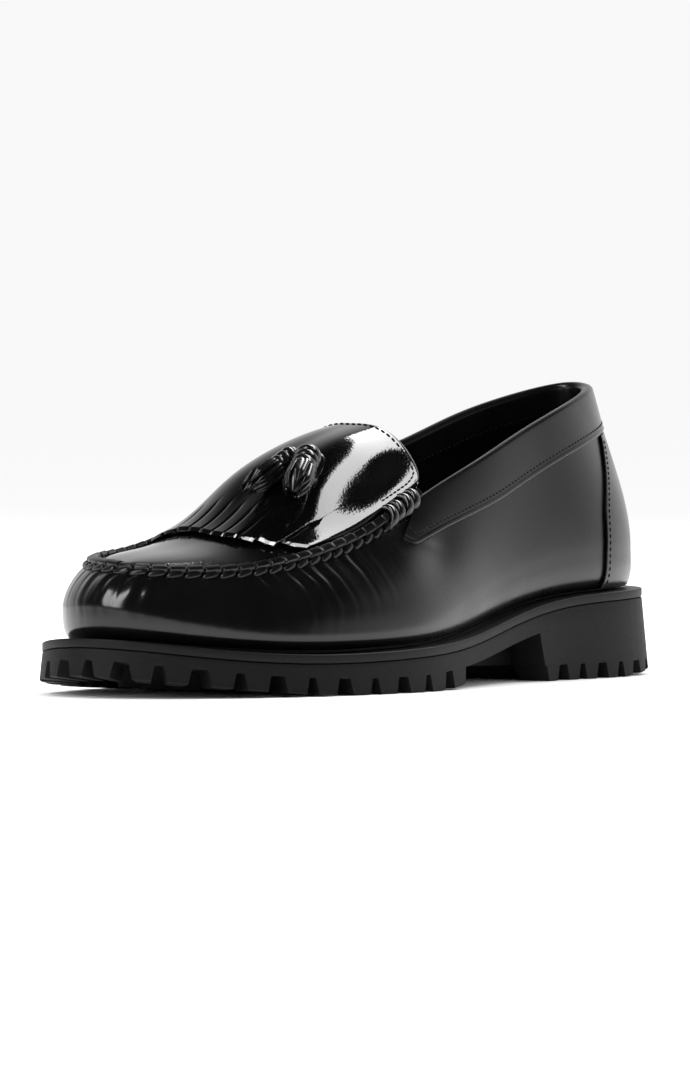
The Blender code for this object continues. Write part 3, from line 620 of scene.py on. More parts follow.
def tubes(rings: Array) -> Mesh:
    """Closed tubes through rings of points.

    Args:
        rings: Points as tubes by rings by sides.

    Returns:
        One mesh of all tubes, each closed by a face at both ends.
    """
    count, length, sides = rings.shape[:3]
    number = np.arange(count * length * sides).reshape(count, length, sides)
    ahead = np.roll(number, -1, axis=2)
    quads = np.stack([number[:, :-1], ahead[:, :-1], ahead[:, 1:], number[:, 1:]], axis=-1)
    ends = np.concatenate([number[:, 0, ::-1], number[:, -1]])
    return Mesh(rings.reshape(-1, 3), quads.reshape(-1, 4).tolist() + ends.tolist())


def swept(path: Array, side: Array, out: Array, wide: Array, thick: Array, sides: int,
          square: float = 1.0) -> Mesh:
    """Cords along paths: at each point an ellipse, or a rounded box as square falls below one.

    Args:
        path: Centre points, cords by steps.
        side: Direction of the width at each point.
        out: Direction of the thickness at each point.
        wide: Half width at each point.
        thick: Half thickness at each point.
        sides: Points round the cord.
        square: Power of the section's sine and cosine: 1 is an ellipse, 0.5 nearly a box.

    Returns:
        One mesh of all cords.
    """
    turn = (np.arange(sides) + 0.5) * 2 * np.pi / sides
    flat = np.sign(np.cos(turn)) * np.abs(np.cos(turn)) ** square
    tall = np.sign(np.sin(turn)) * np.abs(np.sin(turn)) ** square
    rings = (path[:, :, None] + side[:, :, None] * (wide[:, :, None] * flat)[..., None]
             + out[:, :, None] * (thick[:, :, None] * tall)[..., None])
    return tubes(rings)


@dataclass(frozen=True)
class Thread:
    """Rows of rounded stitches: each is a rod whose section shrinks to nothing at its ends.

    The sizes are the pitch of a row, the length, width and thickness of a stitch, the height of its
    middle over the line, and the degrees by which it turns from the line.
    """

    pitch: float
    long: float
    wide: float
    thick: float
    lift: float = 0.1
    slant: float = 0.0
    steps: int = 7
    sides: int = 8

    def row(self, path: Path) -> Mesh:
        """Stitches along a line."""
        place, along, out = path.at(path.evenly(self.pitch))
        across = np.cross(out, along)
        turn = math.radians(self.slant)
        line = along * math.cos(turn) + across * math.sin(turn)
        v = np.sin(np.linspace(-0.49, 0.49, self.steps) * np.pi)
        taper = np.ones((len(place), 1)) * (1 - np.abs(v) ** 3) ** (1 / 2.4)
        bow = self.lift * (1 - 0.5 * v ** 2)
        centre = place[:, None] + line[:, None] * (v * self.long / 2)[:, None] + out[:, None] * bow[:, None]
        side = np.broadcast_to(np.cross(out, line)[:, None], centre.shape)
        face = np.broadcast_to(out[:, None], centre.shape)
        return swept(centre, side, face, taper * self.wide / 2, taper * self.thick / 2, self.sides)


def turned(start: Array, axis: Array, side: Array, out: Array, along: Array, radius: Array) -> Mesh:
    """Surface of revolution: rings of these radii (steps by sides) at distances along an axis."""
    turn = np.arange(radius.shape[1]) * 2 * np.pi / radius.shape[1]
    spoke = np.cos(turn)[:, None] * side + np.sin(turn)[:, None] * out
    rings = start + axis * along[:, None, None] + spoke[None] * radius[:, :, None]
    return tubes(rings[None])


def wound(along: Array, sides: int, pitch: float) -> Array:
    """Swell of lace wound round an axis: the root of the absolute sine along a screw of this pitch."""
    turn = np.arange(sides) * 2 * np.pi / sides
    return np.abs(np.sin(np.pi * (along[:, None] / pitch + turn / (2 * np.pi)))) ** 0.5


@dataclass(frozen=True)
class Piece:
    """How a mesh becomes a piece of the model."""

    name: str
    material: Material
    slot: Slot
    replaces: tuple[str, ...] = ()
    sharp: float = 50.0
    bevel: float = 0.0

    def make(self, mesh: Mesh) -> Object:
        """Put a mesh into the scene as this piece.

        Args:
            mesh: Points and faces of the piece.

        Returns:
            The new object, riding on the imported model's body.
        """
        data = bpy.data.meshes.new(self.name)
        data.from_pydata(FORM.world(mesh.points).tolist(), [], mesh.faces)
        shape = bmesh.new()
        shape.from_mesh(data)
        bmesh.ops.recalc_face_normals(shape, faces=shape.faces)
        shape.to_mesh(data)
        shape.free()
        data.materials.append(self.material)
        data.shade_smooth()
        data.set_sharp_from_angle(angle=math.radians(self.sharp))
        made = bpy.data.objects.new(self.name, data)
        bpy.context.scene.collection.objects.link(made)
        if self.bevel:
            edge = made.modifiers.new("edge", "BEVEL")
            edge.width = self.bevel * MM
            edge.segments = 2
            edge.limit_method = "ANGLE"
            edge.angle_limit = math.radians(self.sharp)
            edge.harden_normals = True
        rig.ride(made, "root")
        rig.slot(made, self.slot.value)
        if self.replaces:
            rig.replaces(made, *self.replaces)
        LOG.info("%s: %d faces", self.name, len(data.polygons))
        return made


# ---------------------------------------------------------------------------------------------
# Finishes


class Sketch:
    """Adds nodes to a tree and links them."""

    def __init__(self, tree: Tree) -> None:
        """Start on a node tree."""
        self.tree = tree

    def add(self, kind: str, inputs: dict | None = None, **settings: object) -> bpy.types.Node:
        """Add a node.

        Args:
            kind: Blender's name of the node type.
            inputs: Values, or sockets to link from, by input name or number.
            settings: Properties of the node.

        Returns:
            The node.
        """
        node = self.tree.nodes.new(kind)
        for name, value in settings.items():
            setattr(node, name, value)
        for name, value in (inputs or {}).items():
            if isinstance(value, Socket):
                self.tree.links.new(value, node.inputs[name])
            else:
                node.inputs[name].default_value = value
        return node

    def math(self, operation: str, first: object, second: object = 0.0) -> Socket:
        """Result of one arithmetic step."""
        return self.add("ShaderNodeMath", {0: first, 1: second}, operation=operation).outputs[0]

    def product(self, *values: object) -> Socket:
        """Product of several values."""
        total = values[0]
        for value in values[1:]:
            total = self.math("MULTIPLY", total, value)
        return total

    def remap(self, value: Socket, start: float, end: float, low: float = 0.0,
              high: float = 1.0, smooth: bool = False) -> Socket:
        """Value moved from one range to another and held past its ends.

        Args:
            value: Socket to read.
            start: Value that gives low.
            end: Value that gives high.
            low: Result at the start.
            high: Result at the end.
            smooth: Whether it sets off and arrives softly.

        Returns:
            The moved value.
        """
        inputs = {"Value": value, "From Min": start, "From Max": end, "To Min": low, "To Max": high}
        kind = "SMOOTHSTEP" if smooth else "LINEAR"
        return self.add("ShaderNodeMapRange", inputs, interpolation_type=kind).outputs[0]


def new_group(name: str, inputs: dict[str, float]) -> Tree:
    """Empty shader node group that hands out a height, a gloss and a tone.

    Args:
        name: Name of the group.
        inputs: Names of its number inputs and their usual values.

    Returns:
        The group's node tree.
    """
    tree = bpy.data.node_groups.new(name, "ShaderNodeTree")
    for label, value in inputs.items():
        socket = tree.interface.new_socket(label, in_out="INPUT", socket_type="NodeSocketFloat")
        socket.default_value = value
    for label in ("Height", "Gloss", "Tone"):
        tree.interface.new_socket(label, in_out="OUTPUT", socket_type="NodeSocketFloat")
    return tree


def grain_group() -> Tree:
    """Leather grain: pebbles from rounded cells, broken up by noise, and a slow change of gloss."""
    tree = new_group("leather_grain", {"Pebble": 0.001, "Patch": 0.012})
    sketch = Sketch(tree)
    given = sketch.add("NodeGroupInput").outputs
    place = sketch.add("ShaderNodeTexCoord").outputs["Object"]
    fine = sketch.math("DIVIDE", 1.0, given["Pebble"])
    slow = sketch.math("DIVIDE", 1.0, given["Patch"])
    stir = sketch.add("ShaderNodeTexNoise", {"Vector": place, "Scale": fine, "Detail": 2.0})
    cell = sketch.add("ShaderNodeTexVoronoi", {"Vector": place, "Scale": fine, "Smoothness": 0.6},
                      feature="SMOOTH_F1")
    cloud = sketch.add("ShaderNodeTexNoise", {"Vector": place, "Scale": slow, "Detail": 3.0})
    pebble = sketch.math("MULTIPLY", cell.outputs["Distance"], -0.6)
    height = sketch.math("ADD", pebble, sketch.math("MULTIPLY", stir.outputs[0], 0.7))
    speck = sketch.math("MULTIPLY", sketch.math("SUBTRACT", stir.outputs[0], 0.5), 0.12)
    gloss = sketch.math("ADD", sketch.remap(cloud.outputs[0], 0.3, 0.7), speck)
    sketch.add("NodeGroupOutput", {"Height": height, "Gloss": gloss, "Tone": cloud.outputs[0]})
    return tree


def rubber_group() -> Tree:
    """Moulded rubber: fine level streaks and specks."""
    tree = new_group("rubber_skin", {"Streak": 0.004, "Squash": 7.0})
    sketch = Sketch(tree)
    given = sketch.add("NodeGroupInput").outputs
    place = sketch.add("ShaderNodeTexCoord").outputs["Object"]
    parts = sketch.add("ShaderNodeSeparateXYZ", {0: place}).outputs
    tall = sketch.math("MULTIPLY", parts[2], given["Squash"])
    flat = sketch.add("ShaderNodeCombineXYZ", {0: parts[0], 1: parts[1], 2: tall}).outputs[0]
    size = sketch.math("DIVIDE", 1.0, given["Streak"])
    streak = sketch.add("ShaderNodeTexNoise", {"Vector": flat, "Scale": size, "Detail": 4.0})
    speck = sketch.add("ShaderNodeTexNoise", {"Vector": place, "Scale": 1600.0, "Detail": 2.0})
    height = sketch.math("ADD", streak.outputs[0], sketch.math("MULTIPLY", speck.outputs[0], 0.6))
    sketch.add("NodeGroupOutput", {"Height": height, "Gloss": speck.outputs[0], "Tone": streak.outputs[0]})
    return tree


class Groups(Enum):
    """Shader groups that several finishes share."""

    GRAIN = "leather_grain"
    RUBBER = "rubber_skin"

    def tree(self) -> Tree:
        """The group's node tree, built on first use."""
        made = bpy.data.node_groups.get(self.value)
        return made or (grain_group() if self is Groups.GRAIN else rubber_group())


@dataclass(frozen=True)
class Finish:
    """A surface: two tones, a range of roughness, relief from a shared group, and a polish coat.

    Where it is buffed, the toe is smoother: the roughness starts at a share of its own value and
    is whole past a second place along the shoe; the three numbers are both places and the share.
    """

    name: str
    group: Groups
    dark: Triple
    light: Triple
    roughness: Pair
    relief: float
    values: dict[str, float] = field(default_factory=dict)
    coat: float = 0.0
    coat_roughness: float = 0.05
    specular: float = 0.5
    buffed: Triple | None = None

    def material(self) -> Material:
        """Build the material: the group drives colour, roughness and bump of one shader."""
        made = bpy.data.materials.new(self.name)
        made.use_nodes = True
        sketch = Sketch(made.node_tree)
        shader = made.node_tree.nodes["Principled BSDF"]
        skin = sketch.add("ShaderNodeGroup", node_tree=self.group.tree())
        for label, value in self.values.items():
            skin.inputs[label].default_value = value
        tone = sketch.add("ShaderNodeMix", {"Factor": skin.outputs["Tone"], 6: (*self.dark, 1.0),
                                            7: (*self.light, 1.0)}, data_type="RGBA")
        rough = sketch.remap(skin.outputs["Gloss"], 0.0, 1.0, *self.roughness)
        if self.buffed:
            start, end, share = self.buffed
            place = sketch.add("ShaderNodeTexCoord").outputs["Object"]
            along = sketch.add("ShaderNodeSeparateXYZ", {0: place}).outputs[0]
            rough = sketch.product(rough, sketch.remap(along, start, end, share, smooth=True))
        bump = sketch.add("ShaderNodeBump", {"Height": skin.outputs["Height"], "Strength": 1.0,
                                             "Distance": self.relief})
        links = made.node_tree.links
        links.new(tone.outputs[2], shader.inputs["Base Color"])
        links.new(rough, shader.inputs["Roughness"])
        links.new(bump.outputs[0], shader.inputs["Normal"])
        shader.inputs["Metallic"].default_value = 0.0
        shader.inputs["Specular IOR Level"].default_value = self.specular
        shader.inputs["Coat Weight"].default_value = self.coat
        shader.inputs["Coat Roughness"].default_value = self.coat_roughness
        return made


JET = (0.0006, 0.0006, 0.00065)
INK = (0.0015, 0.0015, 0.0016)
BLACK = (0.0012, 0.0012, 0.0013)
SOOT = (0.003, 0.003, 0.0032)
RUBBER = (0.002, 0.002, 0.0021)


class Finishes:
    """The shoe's materials, built once."""

    def __init__(self) -> None:
        """Build every material."""
        grain = Groups.GRAIN
        fine = {"Pebble": 0.0009, "Patch": 0.02}
        cord = {"Pebble": 0.0007, "Patch": 0.006}
        self.polished = Finish("polished_leather", grain, JET, INK, roughness=(0.05, 0.09), relief=2.0e-5,
                               values=fine).material()
        self.upper = Finish("upper_leather", grain, BLACK, SOOT, roughness=(0.24, 0.34), relief=0.6e-5,
                            values=fine, buffed=(-0.1, 0.0, 0.7)).material()
        self.lace = Finish("waxed_lace", grain, BLACK, SOOT, roughness=(0.18, 0.34), relief=2.5e-5,
                           values=cord, coat=0.4, coat_roughness=0.12).material()
        self.seam = Finish("seam_leather", grain, BLACK, SOOT, roughness=(0.26, 0.4), relief=2.5e-5,
                           values=cord).material()
        self.thread = Finish("waxed_thread", grain, (0.001, 0.001, 0.001), (0.003, 0.003, 0.003),
                             roughness=(0.55, 0.75), relief=2e-5, values={"Pebble": 0.0004, "Patch": 0.004},
                             specular=0.15).material()
        self.lining = Finish("black_lining", grain, (0.004, 0.004, 0.004), (0.01, 0.01, 0.01),
                             roughness=(0.6, 0.8), relief=3e-5, values={"Pebble": 0.0012, "Patch": 0.02},
                             specular=0.3).material()
        self.rubber = Finish("black_rubber", Groups.RUBBER, RUBBER, (0.005, 0.005, 0.0052),
                             roughness=(0.5, 0.68), relief=6e-5, specular=0.2).material()
        self.edge = Finish("midsole_rubber", Groups.RUBBER, RUBBER, (0.0045, 0.0045, 0.0047),
                           roughness=(0.42, 0.6), relief=3e-5, values={"Streak": 0.006},
                           specular=0.2).material()


# ---------------------------------------------------------------------------------------------
# Upper


@dataclass
class Upper:
    """Wall round the foot, plug on top, and the raised seam with its stitches between them.

    Pairs that end in rise or fall are the start and the run of a smooth step along the seam;
    places on the wall are u and the depth below the seam.
    """

    finishes: Finishes
    thread: Thread = Thread(6.4, 6.3, 2.5, 1.9, slant=-15.0, steps=9, sides=10)
    front_columns: int = 240
    back_columns: int = 170
    wall_rows: int = 58
    row_power: float = 1.35
    foot_fade: float = 0.08
    pucker: float = 0.45
    pucker_reach: float = 7.5
    pucker_fall: Pair = (0.6, 0.28)
    fold: float = 0.35
    fold_reach: float = 15.0
    fold_start: float = 5.0
    fold_rate: float = 0.62
    slant: float = 0.35
    slant_rate: float = 1.6
    dent: float = 1.3
    dent_place: Pair = (158.0, 19.0)
    dent_size: Pair = (15.0, 9.0)
    dent_slope: float = 0.5
    crease: float = 0.35
    crease_place: Pair = (170.0, 10.0)
    crease_slope: float = 0.55
    crease_wide: float = 2.2
    crease_middle: float = 166.0
    crease_reach: float = 9.0
    fullness: float = 0.8
    fullness_rise: Pair = (0.12, 0.3)
    fullness_fall: Pair = (0.8, 0.2)
    fullness_foot: float = 0.2
    undercut: float = 1.5
    undercut_reach: float = 6.5
    plug_grid: tuple[int, int] = (110, 71)
    plug_start: float = 0.02
    plug_span: float = 60.0
    dip: float = 0.35
    dip_wide: float = 2.2
    dip_fall: Pair = (0.8, 0.1)
    ridge: float = 2.7
    ridge_columns: int = 1500
    ridge_sides: int = 17
    ridge_end: float = 0.99
    ridge_square: Pair = (0.42, 0.36)
    ridge_foot: float = 0.6
    ridge_slack: float = 0.9
    ridge_sink: float = 0.8
    block_rake: float = 0.12
    block_uneven: float = 0.05
    groove_wide: float = 0.06
    groove_depth: float = 0.42
    groove_pinch: float = 0.25
    thread_columns: int = 900
    thread_end: float = 0.87
    thread_out: float = 0.35
    thread_down: float = 0.3
    thread_tilt: float = 0.75

    def seam_run(self, t: Array, side: Side) -> Array:
        """Distance along the seam from the toe's tip."""
        fine = np.linspace(0, 1, FINE_STEPS)
        edge = FORM.seam(fine, side)[0]
        steps = np.linalg.norm(np.diff(edge, axis=0), axis=1)
        return np.interp(t, fine, np.concatenate([[0.0], np.cumsum(steps)]))

    def columns(self) -> tuple[Array, Array, Array]:
        """Places of the wall's columns, their share of the seam, and distance from its tip."""
        tip, outer, inner = (FORM.place(name) for name in ("toe tip", "throat outer", "throat inner"))
        front = np.arange(self.front_columns) / self.front_columns
        back = np.arange(self.back_columns) / self.back_columns
        at = [tip + (outer - tip) * front, outer + (inner - 1 - outer) * back,
              inner - 1 + (tip - inner) * front]
        share = [front, 1 + 0 * back, 1 - front]
        run = [self.seam_run(front, Side.OUTER), self.seam_run(np.ones(1), Side.OUTER) + 0 * back,
               -self.seam_run(1 - front, Side.INNER)]
        return np.concatenate(at), np.concatenate(share), np.concatenate(run)

    def creases(self, u: Array, below: Array, share: Array, run: Array, outer: Array) -> Array:
        """Height of the gathers and folds over the smooth wall.

        Under each stitch gap the leather is pinched: twice the absolute sine of the distance
        along the seam, less a little over one, fading with the depth below the seam.  Wider, uneven
        folds reach further down, and on the outer side one soft dent lies under the throat with a
        narrow crease beside it.

        Args:
            u: Distance of each point from the heel.
            below: Distance below the seam.
            share: Share of the way from the toe's tip to the throat.
            run: Distance along the seam from the tip.
            outer: One on the outer side, zero on the inner.

        Returns:
            Heights along the wall's facing, in millimetres.
        """
        lean = run + self.slant * below * np.sign(run) * ease(share * self.slant_rate)
        x = lean / self.thread.pitch
        live = 1 - ramp(share, *self.pucker_fall)
        uneven = 0.7 + 0.6 * ripple(run / 9.0, 0.4)
        reach = self.pucker_reach * (1 + 0.5 * ripple(run / 7.0, 2.2))
        pinch = (2 * np.abs(np.sin(np.pi * x)) ** 0.8 - 1.1) * np.exp(-below / reach)
        wide = ripple(2 * np.pi * x * self.fold_rate + 0.6 * ripple(below / self.fold_start, 1.1), 2.0)
        hang = np.exp(-(below / self.fold_reach) ** 2) * ease(below / self.fold_start)
        height = live * uneven * (self.pucker * pinch + self.fold * wide * hang)
        dent_u, dent_depth = self.dent_place
        along = (u - dent_u - self.dent_slope * (below - dent_depth)) / self.dent_size[0]
        down = (below - dent_depth) / self.dent_size[1]
        height -= self.dent * np.exp(-along ** 2 - down ** 2) * outer
        crease_u, crease_depth = self.crease_place
        off = (below - crease_depth - self.crease_slope * (crease_u - u)) / self.crease_wide
        away = (u - self.crease_middle) / self.crease_reach
        return height + self.crease * np.exp(-off ** 2 - away ** 2) * outer

    def build_wall(self) -> Object:
        """Wall from the sole up to the seam and the topline, with its lining side."""
        at, share, run = self.columns()
        rows = 1 - (1 - np.linspace(0, 1, self.wall_rows)) ** self.row_power
        smooth = np.swapaxes(FORM.wall_points(at, np.broadcast_to(rows, (len(at), len(rows)))), 0, 1)
        facing = -ring_normals(smooth)
        below = (1 - rows)[:, None] * FORM.wall_height(at)[None]
        outer = np.broadcast_to((run > 0) | ((share == 1) & (at > 0)), below.shape)
        height = self.creases(smooth[..., 0], below, share[None], run[None], outer)
        height *= ease(rows / self.foot_fade)[:, None]
        live = outer * ramp(share, *self.fullness_rise) * (1 - ramp(share, *self.fullness_fall))
        raised = np.clip((rows - self.fullness_foot) / (1 - self.fullness_foot), 0, 1)
        height += self.fullness * (np.sin(np.pi * raised) ** 2)[:, None] * live
        stand = rows[:, None] * FORM.wall_height(at)[None]
        height -= self.undercut * np.clip(1 - stand / self.undercut_reach, 0, 1) ** 2
        skin = smooth + facing * height[..., None]
        return Piece("upper_wall", self.finishes.upper, Slot.LEATHER, ("upper",)).make(
            shell(skin, smooth - facing * FORM.wall, closed=True))

    def build_plug(self) -> Object:
        """Plug of the vamp, from the toe to the tongue's end under the kiltie."""
        t = np.linspace(self.plug_start, 1.0, self.plug_grid[0])[:, None]
        across = np.linspace(0, 1, self.plug_grid[1])[None]
        edge = np.minimum(across, 1 - across) * self.plug_span
        dip = -self.dip * np.exp(-(edge / self.dip_wide) ** 2) * (1 - ramp(t, *self.dip_fall))
        skin = FORM.over_vamp(t, across, dip)
        return Piece("vamp_plug", self.finishes.polished, Slot.LEATHER).make(
            shell(skin, FORM.over_vamp(t, across, -FORM.wall)))

    def seam_line(self, count: int, end: float) -> tuple[Array, Array, Array, Array]:
        """The seam from the outer throat over the tip to the inner throat, with its distance."""
        t = np.linspace(-end, end, count)
        parts = []
        for side in Side:
            keep = t < 0 if side is Side.OUTER else t >= 0
            edge, across, out = FORM.seam(np.abs(t[keep]), side)
            run = self.seam_run(np.abs(t[keep]), side) * (1 if side is Side.OUTER else -1)
            parts.append((edge, across, out, run))
        return tuple(np.concatenate(v) for v in zip(*parts))

    def build_ridge(self) -> Object:
        """Standing seam: a squared section in uneven blocks, with a narrow groove at each stitch."""
        edge, across, out, run = self.seam_line(self.ridge_columns, self.ridge_end)
        turn = np.linspace(0, np.pi, self.ridge_sides)
        wide = (1 - np.sign(np.cos(turn)) * np.abs(np.cos(turn)) ** self.ridge_square[0]) / 2
        tall = np.sin(turn) ** self.ridge_square[1]
        x = run / self.thread.pitch
        groove = np.exp(-((x - np.round(x)) / self.groove_wide) ** 2)
        block = np.floor(x)
        rake = self.block_rake * (x - block - 0.5) * np.sign(run)
        level = 1 + self.block_uneven * np.sin(5.1 * block) + rake - self.groove_depth * groove
        high = self.ridge * level[:, None] * tall
        full = 1 - self.groove_pinch * groove + self.block_uneven * np.cos(3.7 * block)
        inset = 0.5 + (wide - 0.5) * full[:, None]
        width = FORM.ridge_width - self.ridge_slack
        under = self.ridge_foot + width * np.array([0.75, 0.25])
        top = (edge[:, None] + across[:, None] * (self.ridge_foot + width * inset)[..., None]
               + out[:, None] * high[..., None])
        low = (edge[:, None] + across[:, None] * under[None, :, None]
               - out[:, None] * self.ridge_sink)
        return Piece("seam_ridge", self.finishes.seam, Slot.LEATHER, sharp=70).make(
            tubes(np.concatenate([top, low], axis=1)[None]))

    def build_thread(self) -> Object:
        """Seam stitches: slanted almonds side by side along the ridge's foot."""
        edge, across, out, _ = self.seam_line(self.thread_columns, self.thread_end)
        foot = Path(edge + out * self.thread_out - across * self.thread_down,
                    unit(out - self.thread_tilt * across))
        return Piece("seam_stitches", self.finishes.seam, Slot.LEATHER).make(self.thread.row(foot))

    def build(self) -> None:
        """Build the upper's pieces."""
        self.build_wall()
        self.build_plug()
        self.build_ridge()
        self.build_thread()


@dataclass
class LaceWrap:
    """Coils of flat lace wound over the seam's end at the throat."""

    finishes: Finishes
    start: float = 0.872
    end: float = 0.958
    coils: int = 4
    radius: float = 3.4
    half_width: float = 1.8
    half_thick: float = 1.15
    lead: float = 2.6
    arc: Pair = (-22.0, 205.0)
    arc_steps: int = 19
    uneven: float = 0.06
    crown: float = 0.1
    sides: int = 12
    square: float = 0.75

    def build(self, name: str, side: Side) -> Object:
        """Coils of one side: each an arc round the seam that leans along it.

        Args:
            name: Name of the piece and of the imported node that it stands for.
            side: Which side of the foot.

        Returns:
            The piece.
        """
        t = np.linspace(self.start, self.end, self.coils)
        edge, across, out = FORM.seam(t, side)
        small = 1e-3
        ahead = unit(FORM.seam(t + small, side)[0] - FORM.seam(t - small, side)[0])
        turn = np.radians(np.linspace(*self.arc, self.arc_steps))
        centre = (edge + across * FORM.ridge_width / 2)[:, None]
        bulge = 1 + self.uneven * np.cos(3.1 * np.arange(self.coils))[:, None]
        ring = self.radius * (bulge + self.crown * np.sin(turn) ** 2)
        arc = (centre + across[:, None] * (np.cos(turn) * ring)[..., None]
               + out[:, None] * (np.sin(turn) * ring)[..., None]
               + ahead[:, None] * (np.linspace(0.5, -0.5, len(turn)) * self.lead)[:, None])
        radial = unit(across[:, None] * np.cos(turn)[:, None] + out[:, None] * np.sin(turn)[:, None])
        beside = unit(np.cross(np.gradient(arc, axis=1), radial))
        size = np.ones(arc.shape[:2])
        lace = swept(arc, beside, radial, size * self.half_width, size * self.half_thick, self.sides,
                     self.square)
        return Piece(name + "_coils", self.finishes.lace, Slot.LEATHER, (name,)).make(lace)


@dataclass
class CollarBand:
    """Folded band over the collar: outer flange with a stitched edge, rolled top, inner flange."""

    finishes: Finishes
    height: float = 15.0
    inner_height: float = 10.0
    thick: float = 1.1
    front_reach: float = 21.5
    front_run: float = 46.0
    front_gap: float = -4.0
    front_taper: float = 3.5
    corner: float = 4.0
    columns: int = 320
    reach_power: float = 1.5
    edge_share: float = 0.85
    edge_rows: int = 12
    face_rows: int = 17
    roll_rows: int = 13
    inner_rows: int = 9
    puff: float = 0.25
    bead: float = 0.75
    bead_puff: float = 0.2
    roll_lift: float = 1.15
    thread: Thread = Thread(2.5, 1.7, 0.8, 0.55, lift=0.15, slant=4.0)
    stitch_inset: float = 2.6
    lining_thread: Thread = Thread(2.5, 1.9, 0.6, 0.5)
    lining_inset: float = 1.6

    def lines(self) -> tuple[Array, Array, Array]:
        """Places round the collar, how far the lower edge reaches ahead there, and the band's height."""
        trim = self.front_gap / FORM.perimeter
        start, end = FORM.place("throat outer") - trim, FORM.place("throat inner") - 1.0 + trim
        at = np.linspace(start, end, self.columns)
        ends = np.stack([(start - at), (at - end)]) * FORM.perimeter
        reach = self.front_reach * np.clip(1 - ends / self.front_run, 0, 1) ** self.reach_power
        ahead = reach[0] - reach[1]
        tall = self.height - self.front_taper * np.abs(ahead) / self.front_reach
        near = np.clip(1 - ends.min(axis=0) / self.corner, 0, 1)
        tall = tall - self.corner * (1 - np.sqrt(1 - near ** 2))
        return at, ahead, tall

    def spots(self, at: Array, ahead: Array, depth: Array, tall: Array, offset: float) -> Array:
        """Points at depths below the topline, moved ahead in proportion and out by an offset."""
        moved = at + ahead * (depth / np.maximum(tall, 1.0)) ** 0.8 / FORM.perimeter
        share = np.clip(1 - depth / FORM.wall_height(moved), 0, 1)
        place, out = FORM.wall_spots(moved, share)
        return place + out * offset

    def skin(self, thick: float) -> Array:
        """Grid of the band's outside at a thickness: up the outside, over the top, down the inside."""
        at, ahead, tall = self.lines()
        drop = np.concatenate([np.linspace(1, self.edge_share, self.edge_rows),
                               np.linspace(self.edge_share, 0, self.face_rows)[1:]])
        puff = self.puff * thick * np.sin(np.pi * drop) ** 0.7
        bead = np.sqrt(np.clip(1 - ((self.height * (1 - drop) - self.bead) / self.bead) ** 2, 0, 1))
        puff += self.bead_puff * thick * bead
        rows = [self.spots(at, ahead, tall * d, tall, FORM.gap + thick + p) for d, p in zip(drop, puff)]
        top, out = FORM.wall_spots(at, np.ones(len(at)))
        up = unit(top - FORM.wall_spots(at, np.full(len(at), 0.97))[0])
        half = FORM.wall / 2 + FORM.gap + thick
        for turn in np.linspace(0, np.pi, self.roll_rows)[1:-1]:
            lift = (FORM.gap + thick * self.roll_lift) * math.sin(turn)
            rows.append(top + out * (math.cos(turn) * half - FORM.wall / 2) + up * lift)
        inside = -FORM.wall - FORM.gap - thick
        for d in np.linspace(0, 1, self.inner_rows):
            rows.append(self.spots(at, ahead * 0, tall * 0 + self.inner_height * d, tall, inside))
        return np.stack(rows)

    def sewing_line(self, ahead: Array, depth: Array, offset: float) -> Path:
        """Line at depths below the topline and an offset from the wall, facing away from the wall."""
        at, _, tall = self.lines()
        low, over = (self.spots(at, ahead, depth, tall, offset + step) for step in (0.0, np.sign(offset)))
        return Path(low, unit(over - low))

    def build(self) -> None:
        """Build the band and the stitches along its lower edge and its inner flange."""
        band = shell(self.skin(self.thick), self.skin(0.0))
        Piece("collar_leather", self.finishes.upper, Slot.LEATHER, ("collar_band",), bevel=0.3).make(band)
        _, ahead, tall = self.lines()
        outside = self.sewing_line(ahead, tall - self.stitch_inset, FORM.gap + self.thick)
        inside = self.sewing_line(ahead * 0, tall * 0 + self.inner_height - self.lining_inset,
                                  -FORM.wall - FORM.gap - self.thick)
        Piece("collar_stitches", self.finishes.thread, Slot.LEATHER).make(
            Mesh.joined([self.thread.row(outside), self.lining_thread.row(inside)]))


@dataclass
class HeelCounter:
    """Leather cap round the back of the heel with a row of stitches at each end."""

    finishes: Finishes
    levels: Numbers = (0.0, 0.25, 0.55, 0.8, 1.0)
    reaches: Numbers = (66.0, 64.5, 60.0, 47.5, 37.0)
    gap: float = 0.3
    thick: float = 0.9
    start: float = 0.02
    band_height: float = 15.0
    band_gap: float = 0.012
    grid: tuple[int, int] = (40, 90)
    thread: Thread = Thread(2.4, 1.5, 0.45, 0.45, lift=0.08)
    stitch_inset: float = 2.3
    stitch_ends: Pair = (0.03, 0.97)
    stitch_steps: int = 160

    def spots(self, level: Array, spread: Array, height: float) -> tuple[Array, Array]:
        """Points of the counter at shares of its height and of its reach to each side."""
        at = (spline(self.levels, self.reaches, level) * spread) / FORM.perimeter
        top = 1 - self.band_height / FORM.wall_height(at) - self.band_gap
        place, out = FORM.wall_spots(at, self.start + (top - self.start) * level)
        return place + out * height, out

    def build(self) -> None:
        """Build the cap and its stitches."""
        level, spread = np.meshgrid(np.linspace(0, 1, self.grid[0]), np.linspace(-1, 1, self.grid[1]),
                                    indexing="ij")
        grids = [self.spots(level.ravel(), spread.ravel(), h)[0].reshape(*level.shape, 3)
                 for h in (self.gap + self.thick, self.gap)]
        Piece("counter_leather", self.finishes.upper, Slot.LEATHER, ("heel_counter",), bevel=0.35).make(
            shell(*grids))
        rows = []
        line = np.linspace(*self.stitch_ends, self.stitch_steps)
        for sign in (-1, 1):
            share = sign * (1 - self.stitch_inset / spline(self.levels, self.reaches, line))
            rows.append(self.thread.row(Path(*self.spots(line, share, self.gap + self.thick))))
        Piece("counter_stitches", self.finishes.thread, Slot.LEATHER).make(Mesh.joined(rows))


# ---------------------------------------------------------------------------------------------
# Kiltie and tassels


